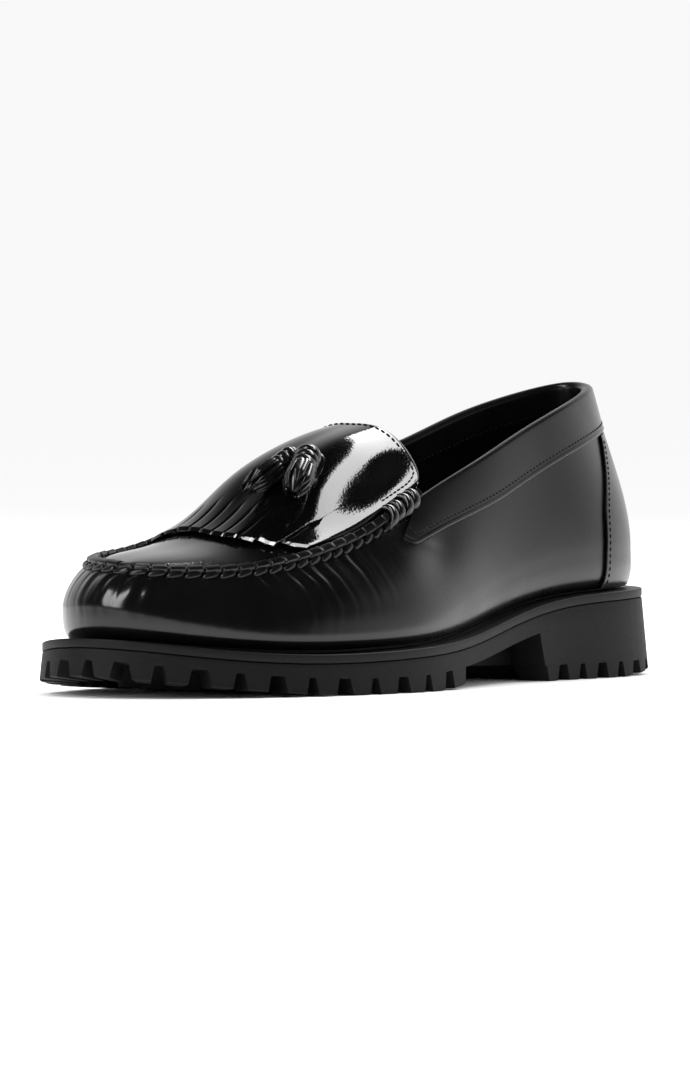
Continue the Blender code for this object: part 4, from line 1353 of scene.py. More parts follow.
@dataclass
class Kiltie:
    """Flap over the vamp with a rounded end at the throat and a fringe of cut strips in front.

    The bends of the cut edges and the skived ends are width, slope and softness of a margin.
    """

    finishes: Finishes
    side: float = 0.006
    back: float = 0.995
    span: float = 66.0
    gap: float = 0.5
    thick: float = 1.5
    strip_count: int = 10
    strip_columns: int = 11
    strip_length: float = 18.0
    strip_lift: float = 0.35
    strip_sway: float = 0.0035
    strip_tilt: float = 0.45
    strip_cup: float = 0.1
    strip_rows: tuple[int, int] = (16, 12)
    body_rows: int = 80
    body_power: float = 1.4
    slit: float = 0.4
    slit_root: float = 0.12
    cut_bend: Triple = (0.6, 0.42, 0.15)
    skive_bend: Triple = (1.25, 0.85, 0.15)
    rim_drop: float = 0.5
    rim_wide: float = 1.2
    rim_rise: Pair = (0.6, 0.15)
    front_across: Numbers = (0.0, 0.05, 0.14, 0.25, 0.37, 0.5, 0.63, 0.76, 1.0)
    front_u: Numbers = (214.0, 223.0, 229.5, 232.0, 232.5, 231.0, 228.6, 227.0, 226.0)
    front_search: tuple[float, float, int] = (0.05, 0.9, 160)
    thread: Thread = Thread(2.6, 2.0, 0.62, 0.6, slant=5.0)
    stitch_inset: float = 2.2
    stitch_beside: float = 0.4
    stitch_start: float = 0.86
    stitch_corner: float = 0.04
    stitch_steps: tuple[int, int, int] = (60, 30, 80)

    def front(self, across: Array) -> Array:
        """Share of the vamp where the fringe ends: where its line first has the table's u."""
        ends = np.interp(across, self.front_across, self.front_u)
        t = np.linspace(*self.front_search)
        grid = FORM.over_vamp(t[:, None], across[None], 0.0)[..., 0]
        before = (grid > ends).sum(axis=0) - 1
        pick = np.arange(len(across))
        high, low = grid[before, pick], grid[before + 1, pick]
        return t[before] + (high - ends) / (high - low) * (t[1] - t[0])

    def roll(self, t: Array, across: Array) -> Array:
        """How far the rim round the flap's rear is rolled down: the square of the share into it."""
        beside = np.minimum(across - self.side, 1 - self.side - across) * self.span
        away = np.minimum((self.back - t) * FORM.vamp_run, beside)
        return self.rim_drop * np.clip(1 - away / self.rim_wide, 0, 1) ** 2 * ramp(t, *self.rim_rise)

    def build_flap(self) -> Object:
        """Flap and fringe: the slits open towards the strips' ends, which lift a little."""
        edges = np.linspace(self.side, 1 - self.side, self.strip_count + 1)
        part = (1 - np.cos(np.linspace(0, np.pi, self.strip_columns))) / 2
        strip = np.repeat(np.arange(self.strip_count), self.strip_columns)
        inside = np.tile(part, self.strip_count)
        centre = (edges[:-1] + edges[1:])[strip] / 2
        half = (edges[1] - edges[0]) / 2
        front = self.front((edges[:-1] + edges[1:]) / 2)[strip]
        front = 0.5 * front + 0.5 * self.front(centre + (inside - 0.5) * 2 * half)
        root = front + self.strip_length / FORM.vamp_run
        body = 1 - np.linspace(0, 1, self.body_rows)[:, None] ** self.body_power
        fall = np.concatenate([np.linspace(0, 0.88, self.strip_rows[0])[1:],
                               np.linspace(0.91, 1, self.strip_rows[1])])[:, None]
        t = np.concatenate([root + (self.back - root) * body, root + (front - root) * fall])
        drawn = np.concatenate([body * 0, fall])
        slit = self.slit / self.span / 2 * (self.slit_root + (1 - self.slit_root) * drawn ** 0.7)
        shift = self.strip_sway * ripple(strip * 2.4, 0.7) * drawn ** 2
        across = centre + (inside - 0.5) * 2 * (half - slit) + shift
        beside = (1 - np.abs(2 * inside - 1)) * half * self.span
        cup = self.strip_cup * (1 - (2 * inside - 1) ** 2) * (1 - drawn ** 2)
        cup = cup - bend(beside, *self.cut_bend)
        rise = (0.7 + 0.5 * ripple(strip * 1.9, 1.6)) * self.strip_lift * drawn ** 2
        tilt = self.strip_tilt * ripple(strip * 3.1, 0.2) * (inside - 0.5) * drawn ** 1.5
        skive = bend((1 - drawn) * self.strip_length, *self.skive_bend)
        height = self.gap + rise + tilt + cup * ease(drawn * 2.5) + FORM.swell(t, across)
        height -= self.roll(t, across)
        cells = np.ones((len(t) - 1, len(strip) - 1), bool)
        cells[len(body) - 1:] = strip[1:] == strip[:-1]
        top = FORM.over_vamp(t, across, height + self.thick - skive)
        mesh = shell(top, FORM.over_vamp(t, across, height), cells=cells)
        return Piece("kiltie_flap", self.finishes.polished, Slot.LEATHER, ("kiltie",), bevel=0.28).make(
            mesh)

    def build_stitches(self) -> Object:
        """Stitches along the rounded rear edge and down both sides to the lace."""
        corner = self.stitch_corner
        side, bent, rear = self.stitch_steps
        back = self.back - self.stitch_inset / FORM.vamp_run
        edge = self.side + (self.stitch_inset + self.stitch_beside) / self.span
        turn = np.linspace(0, np.pi / 2, bent)
        along = np.concatenate([np.linspace(self.stitch_start, back - corner, side),
                                back - corner + corner * np.sin(turn), np.full(rear, back)])
        out = np.concatenate([np.full(side, edge), edge + corner * (1 - np.cos(turn)),
                              np.linspace(edge + corner, 0.5, rear)])
        t = np.concatenate([along, along[::-1]])
        across = np.concatenate([out, 1 - out[::-1]])
        keep = np.append(True, np.hypot(np.diff(t), np.diff(across)) > 1e-6)
        t, across = t[keep], across[keep]
        top = self.gap + self.thick + FORM.swell(t, across)
        line = Path(FORM.over_vamp(t, across, top), FORM.vamp_facing(t, across))
        return Piece("kiltie_stitches", self.finishes.thread, Slot.LEATHER).make(self.thread.row(line))

    def build(self) -> None:
        """Build the flap and its stitches."""
        self.build_flap()
        self.build_stitches()


@dataclass
class Tassel:
    """Tassel lying on the kiltie: wrapped head and a skirt of leather strips."""

    finishes: Finishes
    name: str
    head: Pair
    tip: Pair
    clearance: float
    length: float = 26.6
    strips: int = 13
    skirt_start: float = 10.8
    belly: float = 4.7
    neck: float = 3.9
    tip_fall: Pair = (0.55, 0.45)
    tip_loss: float = 0.45
    strip_steps: int = 22
    strip_thick: float = 0.55
    strip_fall: Pair = (0.6, 0.4)
    strip_loss: float = 0.8
    core_grid: tuple[int, int] = (14, 20)
    core_inset: float = 0.75
    core_length: float = 0.9
    cap_radius: float = 4.8
    cap_ends: Pair = (0.3, 12.4)
    cap_grid: tuple[int, int] = (90, 40)
    dome: float = 4.0
    wind_pitch: float = 3.1
    wind_depth: float = 0.1
    hem: float = 0.06
    hem_place: float = 11.7
    hem_wide: float = 0.5
    hem_fall: Pair = (11.9, 0.5)
    hem_loss: float = 0.3

    def frame(self) -> tuple[Array, Array, Array, Array]:
        """Head point and the tassel's axis, side and outward directions."""
        ends = FORM.vamp(np.array([self.head[0], self.tip[0]]), np.array([self.head[1], self.tip[1]]))
        axis = unit(ends[1] - ends[0])
        out = FORM.vamp_facing(np.array([self.head[0]]), np.array([self.head[1]]))[0]
        side = unit(np.cross(axis, out))
        return ends[0], axis, side, np.cross(side, axis)

    def lifted(self, mesh: Mesh) -> Mesh:
        """The mesh raised along the vamp's facing until its lowest point clears the kiltie."""
        t, across = np.meshgrid(np.linspace(0.3, 0.99, 70), np.linspace(0.05, 0.95, 60))
        top = FORM.over_vamp(t, across, self.clearance + FORM.swell(t, across)).reshape(-1, 3)
        facing = FORM.vamp_facing(t.ravel(), across.ravel())
        some = mesh.points[::3]
        nearest = np.argmin(((some[:, None] - top[None]) ** 2).sum(axis=2), axis=1)
        height = np.sum((some - top[nearest]) * facing[nearest], axis=1)
        shift = unit(facing[nearest].mean(axis=0)) * (FORM.gap - height.min())
        return Mesh(mesh.points + shift, mesh.faces)

    def skirt_radius(self, share: Array) -> Array:
        """Radius of the skirt: an egg, from the neck over the belly to a drawn-in tip."""
        full = np.sin(np.pi * np.clip(share, 0, 1) ** 0.7 * 0.8)
        swollen = self.neck + (self.belly - self.neck) * full
        return swollen * (1 - self.tip_loss * ramp(share, *self.tip_fall))

    def skirt(self) -> Mesh:
        """Strips side by side round the axis; sines of the strip's number make them uneven."""
        start, axis, side, out = self.frame()
        k = np.arange(self.strips)[:, None]
        share = np.linspace(0, 1, self.strip_steps)[None]
        long = (self.length - self.skirt_start) * (0.94 + 0.08 * np.sin(5.3 * k + 1))
        turn = 2 * np.pi * (k + 0.5) / self.strips + 0.16 * np.sin(3.7 * k) * share
        radius = self.skirt_radius(share) * (1 + 0.05 * np.sin(7.1 * k))
        spoke = np.cos(turn)[..., None] * side + np.sin(turn)[..., None] * out
        path = start + axis * (self.skirt_start + long * share)[..., None] + spoke * radius[..., None]
        narrowed = 1 - self.strip_loss * ramp(share, *self.strip_fall)
        wide = np.pi * radius / self.strips * (0.95 + 0.2 * np.sin(2.9 * k)) * narrowed
        twist = 0.3 * np.sin(4.3 * k + 0.4)
        beside = unit(np.cross(spoke, axis) + twist[..., None] * spoke)
        face = np.cross(axis, beside)
        thick = np.full(wide.shape, self.strip_thick)
        return swept(path, beside, face, wide, thick, STRAP_SIDES, STRAP_SQUARE)

    def core(self) -> Mesh:
        """Bundle inside the skirt that closes the view between its strips."""
        start, axis, side, out = self.frame()
        share = np.linspace(0, 1, self.core_grid[0])
        radius = np.maximum(self.skirt_radius(share) - self.core_inset, 0.4)
        radius[-3:] *= (0.85, 0.6, 0.25)
        along = self.skirt_start + (self.length - self.skirt_start) * self.core_length * share
        return turned(start, axis, side, out, along, np.repeat(radius[:, None], self.core_grid[1], axis=1))

    def cap(self) -> Mesh:
        """Head: a strap wound four times round the neck, rounded over at the top."""
        start, axis, side, out = self.frame()
        along = np.linspace(*self.cap_ends, self.cap_grid[0])
        wind = 1 - self.wind_depth + self.wind_depth * wound(along, self.cap_grid[1], self.wind_pitch)
        dome = np.sqrt(np.clip(1 - (1 - np.clip(along / self.dome, 0, 1)) ** 2, 0.02, 1))
        hem = 1 + self.hem * np.exp(-((along - self.hem_place) / self.hem_wide) ** 2)
        hem = hem - self.hem_loss * ramp(along, *self.hem_fall)
        radius = self.cap_radius * wind * (dome * hem)[:, None]
        return turned(start, axis, side, out, along, radius)

    def build(self) -> Object:
        """Build the tassel over the kiltie."""
        mesh = self.lifted(Mesh.joined([self.skirt(), self.core(), self.cap()]))
        return Piece(self.name + "_strips", self.finishes.lace, Slot.LEATHER, (self.name,)).make(mesh)


@dataclass
class TasselTie:
    """Knot of lace between the tassels' heads, with a strap looped down beside the outer one."""

    finishes: Finishes
    place: Pair = (0.758, 0.37)
    length: float = 7.0
    radius: float = 2.9
    clearance: float = 2.4
    grid: tuple[int, int] = (40, 24)
    wind_pitch: float = 2.6
    wind_depth: float = 0.2
    end_start: float = 2.1
    end_run: float = 1.45
    strap_size: Pair = (1.15, 0.5)
    strap_steps: int = 40
    strap_t: Numbers = (0.757, 0.768, 0.758, 0.741, 0.737, 0.744, 0.742)
    strap_across: Numbers = (0.335, 0.29, 0.265, 0.25, 0.262, 0.288, 0.32)
    strap_height: Numbers = (8.0, 7.4, 5.8, 4.4, 4.6, 6.0, 7.5)

    def knot(self) -> Mesh:
        """A short bar across the foot with three turns of lace round it."""
        middle = FORM.over_vamp(np.array([self.place[0]]), np.array([self.place[1]]),
                                self.clearance + self.radius)[0]
        axis, side = np.array([0.0, 1.0, 0.0]), np.array([1.0, 0.0, 0.0])
        along = np.linspace(-0.5, 0.5, self.grid[0]) * self.length
        past = np.clip((np.abs(along) - self.end_start) / self.end_run, 0, 1)
        end = np.sqrt(np.clip(1 - past ** 2, 0.03, 1))
        wind = 1 - self.wind_depth + self.wind_depth * wound(along, self.grid[1], self.wind_pitch)
        return turned(middle, axis, side, UP, along, self.radius * wind * end[:, None])

    def strap(self) -> Mesh:
        """Flat strap through a few places over the kiltie, joined by a spline."""
        knots = np.arange(len(self.strap_t), dtype=float)
        fine = np.linspace(0, knots[-1], self.strap_steps)
        t, across, height = (spline(knots, np.array(v), fine)
                             for v in (self.strap_t, self.strap_across, self.strap_height))
        path = FORM.over_vamp(t, across, height + FORM.swell(t, across))
        out = FORM.vamp_facing(t, across)
        side = unit(np.cross(np.gradient(path, axis=0), out))
        wide, thick = (np.full((1, len(fine)), size) for size in self.strap_size)
        return swept(path[None], side[None], out[None], wide, thick, STRAP_SIDES, STRAP_SQUARE)

    def build(self) -> Object:
        """Build the knot and its strap."""
        return Piece("tassel_knot", self.finishes.lace, Slot.LEATHER, ("tassel_tie",)).make(
            Mesh.joined([self.knot(), self.strap()]))


# ---------------------------------------------------------------------------------------------
# Sole


@dataclass
class Sole:
    """Midsole with a ledge, and outsole with a heel block and notched edge lugs.

    Rounded edges are rings: pairs of an inset and a drop, or of an inset and a lift at the feet.
    """

    finishes: Finishes
    midsole_thick: float = 3.2
    midsole_gap: float = 0.1
    top_round: tuple[Pair, ...] = ((9.0, 0.0), (0.45, 0.0), (0.1, 0.2))
    edge_round: float = 0.45
    root_round: float = 0.6
    side_shares: Numbers = (0.0, 0.3, 0.6, 0.85, 0.97)
    lug_shares: Numbers = (0.05, 0.35, 0.7, 0.95)
    foot_round: tuple[Pair, ...] = ((0.15, 0.12), (0.55, 0.0))
    lug_depth: float = 13.0
    notch_wide: float = 7.6
    notch_narrow: float = 5.2
    notch_taper: float = 1.5
    heel_pitch: float = 12.4
    fore_pitch: float = 13.6
    quicken: float = 0.15
    toe_notch: float = 369.8
    lug_columns: int = 7
    breast_lean: float = 3.0
    waist_columns: int = 16
    ledge_columns: int = 480
    centre_u: Numbers = (30.0, 54.0, 78.0, 172.0, 194.0, 216.0, 238.0, 260.0)
    centre_y: Numbers = (0.0, 0.0, 0.0, -3.0, -2.0, -1.0, 1.0, 5.0)
    centre_long: Numbers = (13.0, 13.0, 13.0, 12.0, 12.0, 12.0, 12.0, 11.0)
    centre_wide: Numbers = (26.0, 34.0, 36.0, 48.0, 58.0, 62.0, 56.0, 38.0)
    centre_round: tuple[Pair, ...] = ((1.0, 1.0), (0.0, 0.12), (-0.5, 0.0))
    centre_root: float = 1.0

    def level_ring(self, at: Array, inset: float, drop: float) -> Array:
        """Ring of points inside the sole's edge, at a drop below its top face."""
        plan = FORM.outline(at, inset)
        return np.column_stack([plan, FORM.sole_top(plan[:, 0]) - drop])

    def build_midsole(self) -> Object:
        """Midsole: rounded ledge on top, plain side, and a groove where it meets the outsole."""
        at = np.arange(self.ledge_columns) / self.ledge_columns
        t = self.midsole_thick
        insets = (12.0, 1.2, 0.6, 0.2, 0.03, 0.0, 0.0, 0.08, 0.45, 12.0)
        drops = (0.0, 0.0, 0.02, 0.12, 0.32, 0.6, t - 0.5, t - 0.25, t - 0.08, t)
        rings = np.stack([self.level_ring(at, inset, drop) for inset, drop in zip(insets, drops)])
        return Piece("midsole_edge", self.finishes.edge, Slot.RUBBER, ("midsole",)).make(capped(rings))

    def lug_columns_of(self, first: float, last: float, pitch: float,
                       quicken: float) -> tuple[Array, Array]:
        """Places round the edge and lug shares (1 on a lug, 0 in a notch) of one row of lugs."""
        count = int(round(abs(last - first) * FORM.perimeter / pitch))
        share = np.arange(count + 1) / count
        ends = (first + (last - first) * (share + quicken * share * (1 - share))) * FORM.perimeter
        shift = (self.notch_wide - self.notch_narrow) / 4 * np.where(np.arange(count) % 2, 1.0, -1.0)
        width = np.abs(np.diff(ends)) - (self.notch_wide + self.notch_narrow) / 2
        centre = (ends[:-1] + ends[1:]) / 2 + shift * np.sign(last - first)
        inner = np.linspace(-1, 1, self.lug_columns)
        taper = self.notch_taper * np.array([0.85, 1.15])
        offset = np.concatenate([
            (-width / 2)[:, None] - taper[::-1], width[:, None] / 2 * inner, (width / 2)[:, None] + taper,
        ], axis=1)
        level = np.concatenate([[0.0, 0.08], np.ones(self.lug_columns), [0.08, 0.0]])
        if last < first:
            offset = -offset
        places = (centre[:, None] + offset) / FORM.perimeter
        return places.ravel(), np.tile(level, count)

    def columns(self) -> tuple[Array, Array, Array]:
        """Columns round the outsole: place, lug share, and whether it is on the heel block."""
        breast_outer, breast_inner = (FORM.place_at_u(FORM.heel_breast_u, side) for side in Side)
        tread_outer, tread_inner = (FORM.place_at_u(FORM.tread_start_u, side) for side in Side)
        toe = self.toe_notch / FORM.perimeter
        heel, heel_lug = self.lug_columns_of(breast_inner - 1.0, breast_outer, self.heel_pitch, 0.0)
        outer, outer_lug = self.lug_columns_of(tread_outer, toe, self.fore_pitch, self.quicken)
        inner, inner_lug = self.lug_columns_of(toe, tread_inner, self.fore_pitch, 0.0)
        lean = self.breast_lean / FORM.perimeter
        waist_outer = np.linspace(breast_outer + lean, tread_outer, self.waist_columns)
        waist_inner = np.linspace(tread_inner, breast_inner - lean, self.waist_columns)
        ends = np.array([breast_inner - 1.0]), np.array([breast_outer])
        groups = [(ends[0], 0.0, 1), (heel, heel_lug, 1), (ends[1], 0.0, 1), (waist_outer, 0.0, 0),
                  (outer, outer_lug, 0), (inner, inner_lug, 0), (waist_inner, 0.0, 0)]
        at = np.concatenate([g[0] for g in groups])
        lug = np.concatenate([np.broadcast_to(g[1], g[0].shape) for g in groups])
        block = np.concatenate([np.full(len(g[0]), g[2]) for g in groups])
        return at, lug, block

    def build_outsole(self) -> Object:
        """Outsole in one skin of rings: top, side down to the lugs' feet, and underside.

        At each column the underside lies at the tread's floor on a lug and at the web between
        lugs; the step between two such columns is a notch's tapered side.
        """
        at, lug, block = self.columns()

        def web(u: Array) -> Array:
            """Underside between the lugs: the heel block's base, or the web."""
            return np.where(block == 1, FORM.lug_height, FORM.web_floor(u))

        top_drop = self.midsole_thick + self.midsole_gap
        rings = [self.level_ring(at, inset, top_drop + drop) for inset, drop in self.top_round]
        edge = FORM.sole_edge(at, 1.0)
        foot = web(edge[:, 0]) + (FORM.tread_floor(edge[:, 0]) - web(edge[:, 0])) * lug
        upper_edge = FORM.sole_top(edge[:, 0]) - top_drop - self.edge_round
        base = web(edge[:, 0]) + self.root_round
        floor = FORM.tread_floor(edge[:, 0])
        for start, end, shares in ((upper_edge, base, self.side_shares),
                                   (base, foot + self.root_round, self.lug_shares)):
            for share in shares:
                level = start + (end - start) * share - 0.01 * share
                plan = FORM.sole_edge(at, (upper_edge - level) / (upper_edge - floor))
                rings.append(np.column_stack([plan, level]))
        edge = FORM.sole_edge(at, (upper_edge - foot) / (upper_edge - floor))
        rings.append(np.column_stack([edge, foot + self.edge_round]))
        for inset, lift in self.foot_round + ((self.lug_depth - self.root_round, 0.0),):
            plan = FORM.outline(at, inset) + (edge - FORM.outline(at))
            low = web(plan[:, 0]) + (FORM.tread_floor(plan[:, 0]) - web(plan[:, 0])) * lug
            rings.append(np.column_stack([plan, low + lift]))
        plan = FORM.outline(at, self.lug_depth + self.root_round)
        rings.append(np.column_stack([plan, web(plan[:, 0])]))
        mesh = Mesh.joined([capped(np.stack(rings)), self.centre_lugs()])
        return Piece("outsole_tread", self.finishes.rubber, Slot.RUBBER, ("outsole",), sharp=32).make(mesh)

    def centre_lugs(self) -> Mesh:
        """Six-sided lugs along the middle of the tread, with chamfered feet."""
        hexagon = np.array([(-1, -0.6), (-1, 0.6), (0, 1), (1, 0.6), (1, -0.6), (0, -1)], float)
        size = np.stack([self.centre_long, self.centre_wide], axis=1)[:, None] / 2
        place = np.stack([self.centre_u, self.centre_y], axis=1)[:, None]
        rings = []
        for grow, level in self.centre_round:
            plan = place + hexagon * (size + grow)
            u = plan[..., 0]
            roof = np.where(u < FORM.heel_breast_u, FORM.lug_height, FORM.web_floor(u)) + self.centre_root
            floor = FORM.tread_floor(u)
            rings.append(np.concatenate([plan, (floor + (roof - floor) * level)[..., None]], axis=2))
        return tubes(np.stack(rings, axis=1))

    def build(self) -> None:
        """Build both soles."""
        self.build_midsole()
        self.build_outsole()


def capped(rings: Array) -> Mesh:
    """Closed solid through rings, its first and last ring bridged by rungs from side to side."""
    count, sides = rings.shape[:2]
    number = np.arange(count * sides).reshape(count, sides)
    ahead = np.roll(number, -1, axis=1)
    quads = np.stack([number[:-1], ahead[:-1], ahead[1:], number[1:]], axis=-1).reshape(-1, 4)
    half = np.arange(1, (sides - 1) // 2)
    rungs = np.stack([half, half + 1, sides - half - 1, sides - half], axis=1)
    last = int(half[-1]) + 1
    ends = [[0, 1, sides - 1], list(range(last, sides - last + 1))]
    caps = [[c + first for c in face] for first in (0, (count - 1) * sides)
            for face in rungs.tolist() + ends]
    return Mesh(rings.reshape(-1, 3), quads.tolist() + caps)


# ---------------------------------------------------------------------------------------------
# Stage


def around(azimuth: float, elevation: float = 0.0, distance: float = 1.0) -> Triple:
    """Point round the shoe: azimuth 0 lies on its outer side and 90 behind its heel."""
    a, e = math.radians(azimuth), math.radians(elevation)
    flat = distance * math.cos(e)
    return flat * math.sin(a), -flat * math.cos(a), distance * math.sin(e)


@dataclass(frozen=True)
class Softbox:
    """Rectangular light that faces the shoe from an azimuth and an elevation.

    It may spare some pieces or be narrowed down to only some, and may show in reflections only.
    """

    name: str
    azimuth: float
    elevation: float
    size: Pair
    radiance: float
    lean: float = 0.0
    spared: tuple[str, ...] = ()
    only: tuple[str, ...] = ()
    mirrored: bool = False
    distance: float = 1.8
    target: Triple = (0.0, 0.0, 0.06)

    def build(self) -> None:
        """Put the light into the scene."""
        data = bpy.data.lights.new(self.name, "AREA")
        data.shape = "RECTANGLE"
        data.size, data.size_y = self.size
        data.energy = self.radiance * math.pi * self.size[0] * self.size[1]
        made = bpy.data.objects.new(self.name, data)
        made.location = around(self.azimuth, self.elevation, self.distance)
        facing = (Vector(self.target) - made.location).to_track_quat("-Z", "Y")
        turn = Quaternion((0.0, 0.0, 1.0), math.radians(self.lean))
        made.rotation_euler = (facing @ turn).to_euler()
        made.visible_camera = False
        made.visible_diffuse = not self.mirrored
        bpy.context.scene.collection.objects.link(made)
        if self.spared or self.only:
            flagged = bpy.data.collections.new(self.name + "_flag")
            for piece in self.spared or self.only:
                flagged.objects.link(bpy.data.objects[piece])
            for link in flagged.collection_objects:
                link.light_linking.link_state = "EXCLUDE" if self.spared else "INCLUDE"
            made.light_linking.receiver_collection = flagged


LIGHTS = (
    Softbox("high_light", 85.7, 51.6, (1.8, 0.41), 9.5, lean=-18.8,
            spared=("upper_wall", "seam_ridge", "seam_stitches", "collar_leather")),
    Softbox("toe_light", -104.0, 42.0, (0.42, 2.2), 8.5, lean=8.0),
    Softbox("fringe_light", -95.0, 42.0, (3.6, 0.9), 14.0, only=("kiltie_flap",), mirrored=True),
    Softbox("end_light", -32.0, 32.0, (1.9, 1.3), 14.0, only=("kiltie_flap",), mirrored=True),
)


@dataclass
class Studio:
    """Pale floor, soft lights, surround and the camera at the photograph's angle.

    What reflections see is a backdrop cut off by a flag, a room beside it with haze over its lit
    foot, and a soft patch.  Their spread pairs are cosines from their azimuth between which they
    fade in, and their top pairs are heights between which they fade out.
    """

    azimuth: float = 53.86
    elevation: float = 1.484
    distance: float = 2600.0
    pixels_per_mm: float = 2.0829
    zoom: float = 1.36
    picture: tuple[int, int] = (690, 1070)
    clip: Pair = (0.05, 100.0)
    target: Triple = (-3.577, 0.8285, 40.0)
    aim: Pair = (-4.9, 12.8)
    floor_size: float = 40.0
    floor_drop: float = 5e-5
    floor_tone: float = 0.86
    surround: float = 1.1
    darkness: float = 0.01
    backdrop: float = 1.15
    backdrop_azimuth: float = 100.0
    backdrop_spread: Pair = (0.2, 0.95)
    backdrop_power: float = 2.2
    backdrop_top: Pair = (0.5, 0.7)
    flag_azimuth: float = 10.0
    flag_spread: Pair = (-0.9, -0.62)
    room_azimuth: float = 138.0
    room_spread: Pair = (0.45, 0.8)
    room_top: Pair = (0.14, 0.3)
    haze: float = 0.8
    haze_top: Pair = (0.3, 0.86)
    patch: float = 0.55
    patch_azimuth: float = 36.0
    patch_spread: Pair = (0.88, 0.99)
    patch_top: Pair = (0.25, 0.6)

    def axes(self) -> tuple[Array, Array, Array]:
        """Directions towards the camera, to its right and up."""
        a, e = math.radians(self.azimuth), math.radians(self.elevation)
        back = np.array([-math.sin(a) * math.cos(e), -math.cos(a) * math.cos(e), math.sin(e)])
        right = np.array([math.cos(a), -math.sin(a), 0.0])
        return back, right, np.cross(back, right)

    def build_camera(self) -> None:
        """Camera where the photograph was taken from, aimed at the middle of the shoe."""
        back, right, up = self.axes()
        target = np.array(self.target)
        place = target + back * self.distance
        aim = target + right * self.aim[0] + up * self.aim[1]
        data = bpy.data.cameras.new("camera")
        focal = self.pixels_per_mm * self.distance * self.zoom
        data.lens = focal * data.sensor_width / max(self.picture)
        made = bpy.data.objects.new("camera", data)
        made.location = Vector(place) * MM
        made.rotation_euler = Vector(aim - place).to_track_quat("-Z", "Y").to_euler()
        data.clip_start, data.clip_end = self.clip
        bpy.context.scene.collection.objects.link(made)
        bpy.context.scene.camera = made

    def build_floor(self) -> None:
        """Wide pale floor: one square of a plain matt tone, a hair under the lugs."""
        half = self.floor_size / 2
        ways = ((-1, -1), (1, -1), (1, 1), (-1, 1))
        data = bpy.data.meshes.new("floor")
        data.from_pydata([(x * half, y * half, -self.floor_drop) for x, y in ways], [], [(0, 1, 2, 3)])
        paint = bpy.data.materials.new("pale_floor")
        paint.use_nodes = True
        nodes = paint.node_tree.nodes
        nodes.remove(nodes["Principled BSDF"])
        matt = nodes.new("ShaderNodeBsdfDiffuse")
        matt.inputs["Color"].default_value = (self.floor_tone, self.floor_tone, self.floor_tone, 1.0)
        paint.node_tree.links.new(matt.outputs[0], nodes["Material Output"].inputs["Surface"])
        data.materials.append(paint)
        made = bpy.data.objects.new("floor", data)
        bpy.context.scene.collection.objects.link(made)
        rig.stage(made)

    def reflected(self, sketch: Sketch) -> Socket:
        """Brightness that reflections see in each direction.

        Args:
            sketch: Sketch of the world's node tree.

        Returns:
            The greatest of backdrop, room and haze, plus the patch and the darkness between them.
        """
        facing = sketch.add("ShaderNodeTexCoord").outputs["Generated"]
        height = sketch.add("ShaderNodeSeparateXYZ", {0: facing}).outputs[2]

        def toward(azimuth: float, spread: Pair, smooth: bool = False) -> Socket:
            """Share that fades in towards an azimuth."""
            cosine = sketch.add("ShaderNodeVectorMath", {0: facing, 1: around(azimuth)},
                                operation="DOT_PRODUCT").outputs["Value"]
            return sketch.remap(cosine, *spread, smooth=smooth)

        def under(top: Pair, smooth: bool = True) -> Socket:
            """Share that fades out with height."""
            return sketch.remap(height, *top, 1.0, 0.0, smooth)

        behind = toward(self.backdrop_azimuth, self.backdrop_spread)
        beside = toward(self.flag_azimuth, self.flag_spread)
        room = toward(self.room_azimuth, self.room_spread)
        patch = toward(self.patch_azimuth, self.patch_spread, smooth=True)
        deep = sketch.math("POWER", behind, self.backdrop_power)
        lit = sketch.product(deep, beside, under(self.backdrop_top), self.backdrop)
        lit = sketch.math("MAXIMUM", lit, sketch.product(room, under(self.room_top, smooth=False)))
        lit = sketch.math("MAXIMUM", lit, sketch.product(room, under(self.haze_top), self.haze))
        lit = sketch.math("ADD", lit, sketch.product(patch, under(self.patch_top), self.patch))
        return sketch.math("ADD", lit, self.darkness)

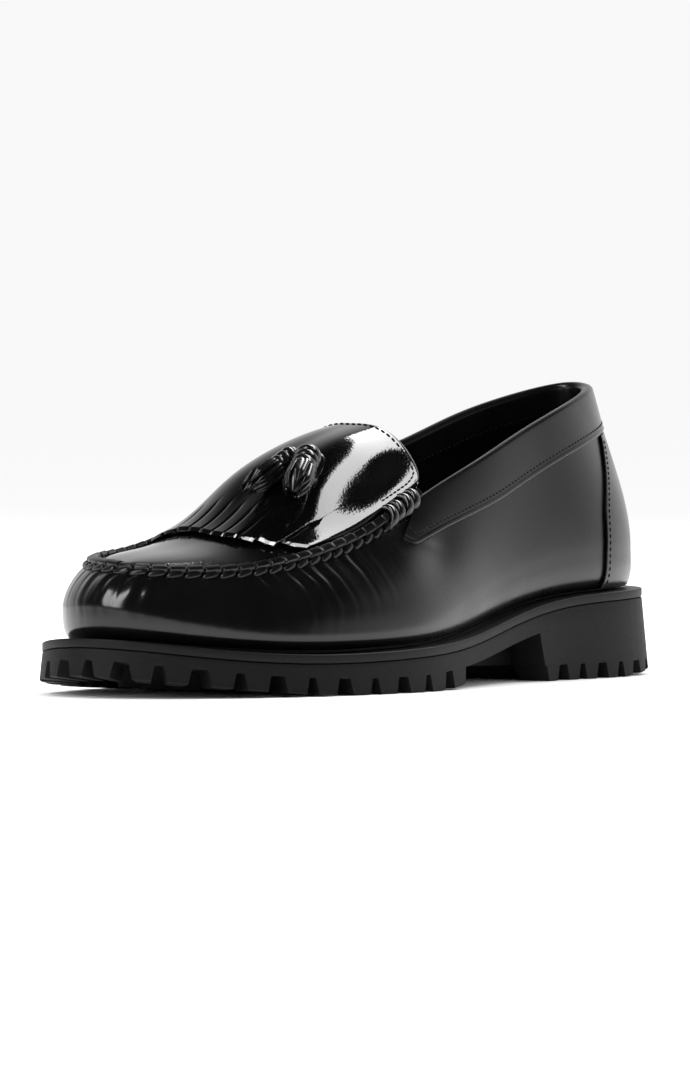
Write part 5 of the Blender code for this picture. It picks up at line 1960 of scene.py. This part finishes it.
    def build_world(self) -> None:
        """White surround for the picture and the floor, and a darker one for reflections."""
        world = bpy.data.worlds.new("studio")
        bpy.context.scene.world = world
        world.use_nodes = True
        sketch = Sketch(world.node_tree)
        ground = world.node_tree.nodes["Background"]
        ground.inputs["Color"].default_value = (1.0, 1.0, 1.0, 1.0)
        path = sketch.add("ShaderNodeLightPath").outputs
        seen = sketch.add("ShaderNodeMix", {"Factor": path["Is Camera Ray"], 2: self.surround,
                                            3: self.surround * self.floor_tone})
        strength = sketch.add("ShaderNodeMix", {"Factor": path["Is Glossy Ray"], 2: seen.outputs[0],
                                                3: self.reflected(sketch)})
        world.node_tree.links.new(strength.outputs[0], ground.inputs["Strength"])

    def build(self) -> None:
        """Build camera, floor, world and lights."""
        bpy.context.scene.view_settings.view_transform = "Standard"
        self.build_camera()
        self.build_floor()
        self.build_world()
        for light in LIGHTS:
            light.build()


def dress_insole(material: Material) -> None:
    """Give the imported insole, whose shape is right, its lining finish."""
    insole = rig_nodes()["insole"]
    insole.data.materials.clear()
    insole.data.materials.append(material)


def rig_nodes() -> dict[str, Object]:
    """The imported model's objects by node name."""
    return {o["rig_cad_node"]: o for o in bpy.context.scene.objects if "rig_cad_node" in o}


def corners() -> list[list[float]]:
    """Lowest and highest corner of the shown object as plain numbers."""
    return [[float(v) for v in corner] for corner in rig.bounds()]


def main() -> None:
    """Load the frame, build every piece and note both boxes."""
    logging.basicConfig(level=logging.INFO, format="%(name)s: %(message)s")
    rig.load()
    solid_box = corners()
    finishes = Finishes()
    Upper(finishes).build()
    CollarBand(finishes).build()
    HeelCounter(finishes).build()
    Kiltie(finishes).build()
    LaceWrap(finishes).build("lace_wrap_outer", Side.OUTER)
    LaceWrap(finishes).build("lace_wrap_inner", Side.INNER)
    Tassel(finishes, "tassel_outer", (0.767, 0.335), (0.672, 0.232), 2.0).build()
    Tassel(finishes, "tassel_inner", (0.763, 0.382), (0.655, 0.437), 2.0, length=27.5, belly=3.9, neck=3.2,
           cap_radius=3.7).build()
    TasselTie(finishes).build()
    dress_insole(finishes.lining)
    Sole(finishes).build()
    Studio().build()
    with open("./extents.json", "w", encoding="utf-8") as note:
        json.dump({"cad": solid_box, "visual": corners()}, note)


if __name__ == "__main__":
    main()
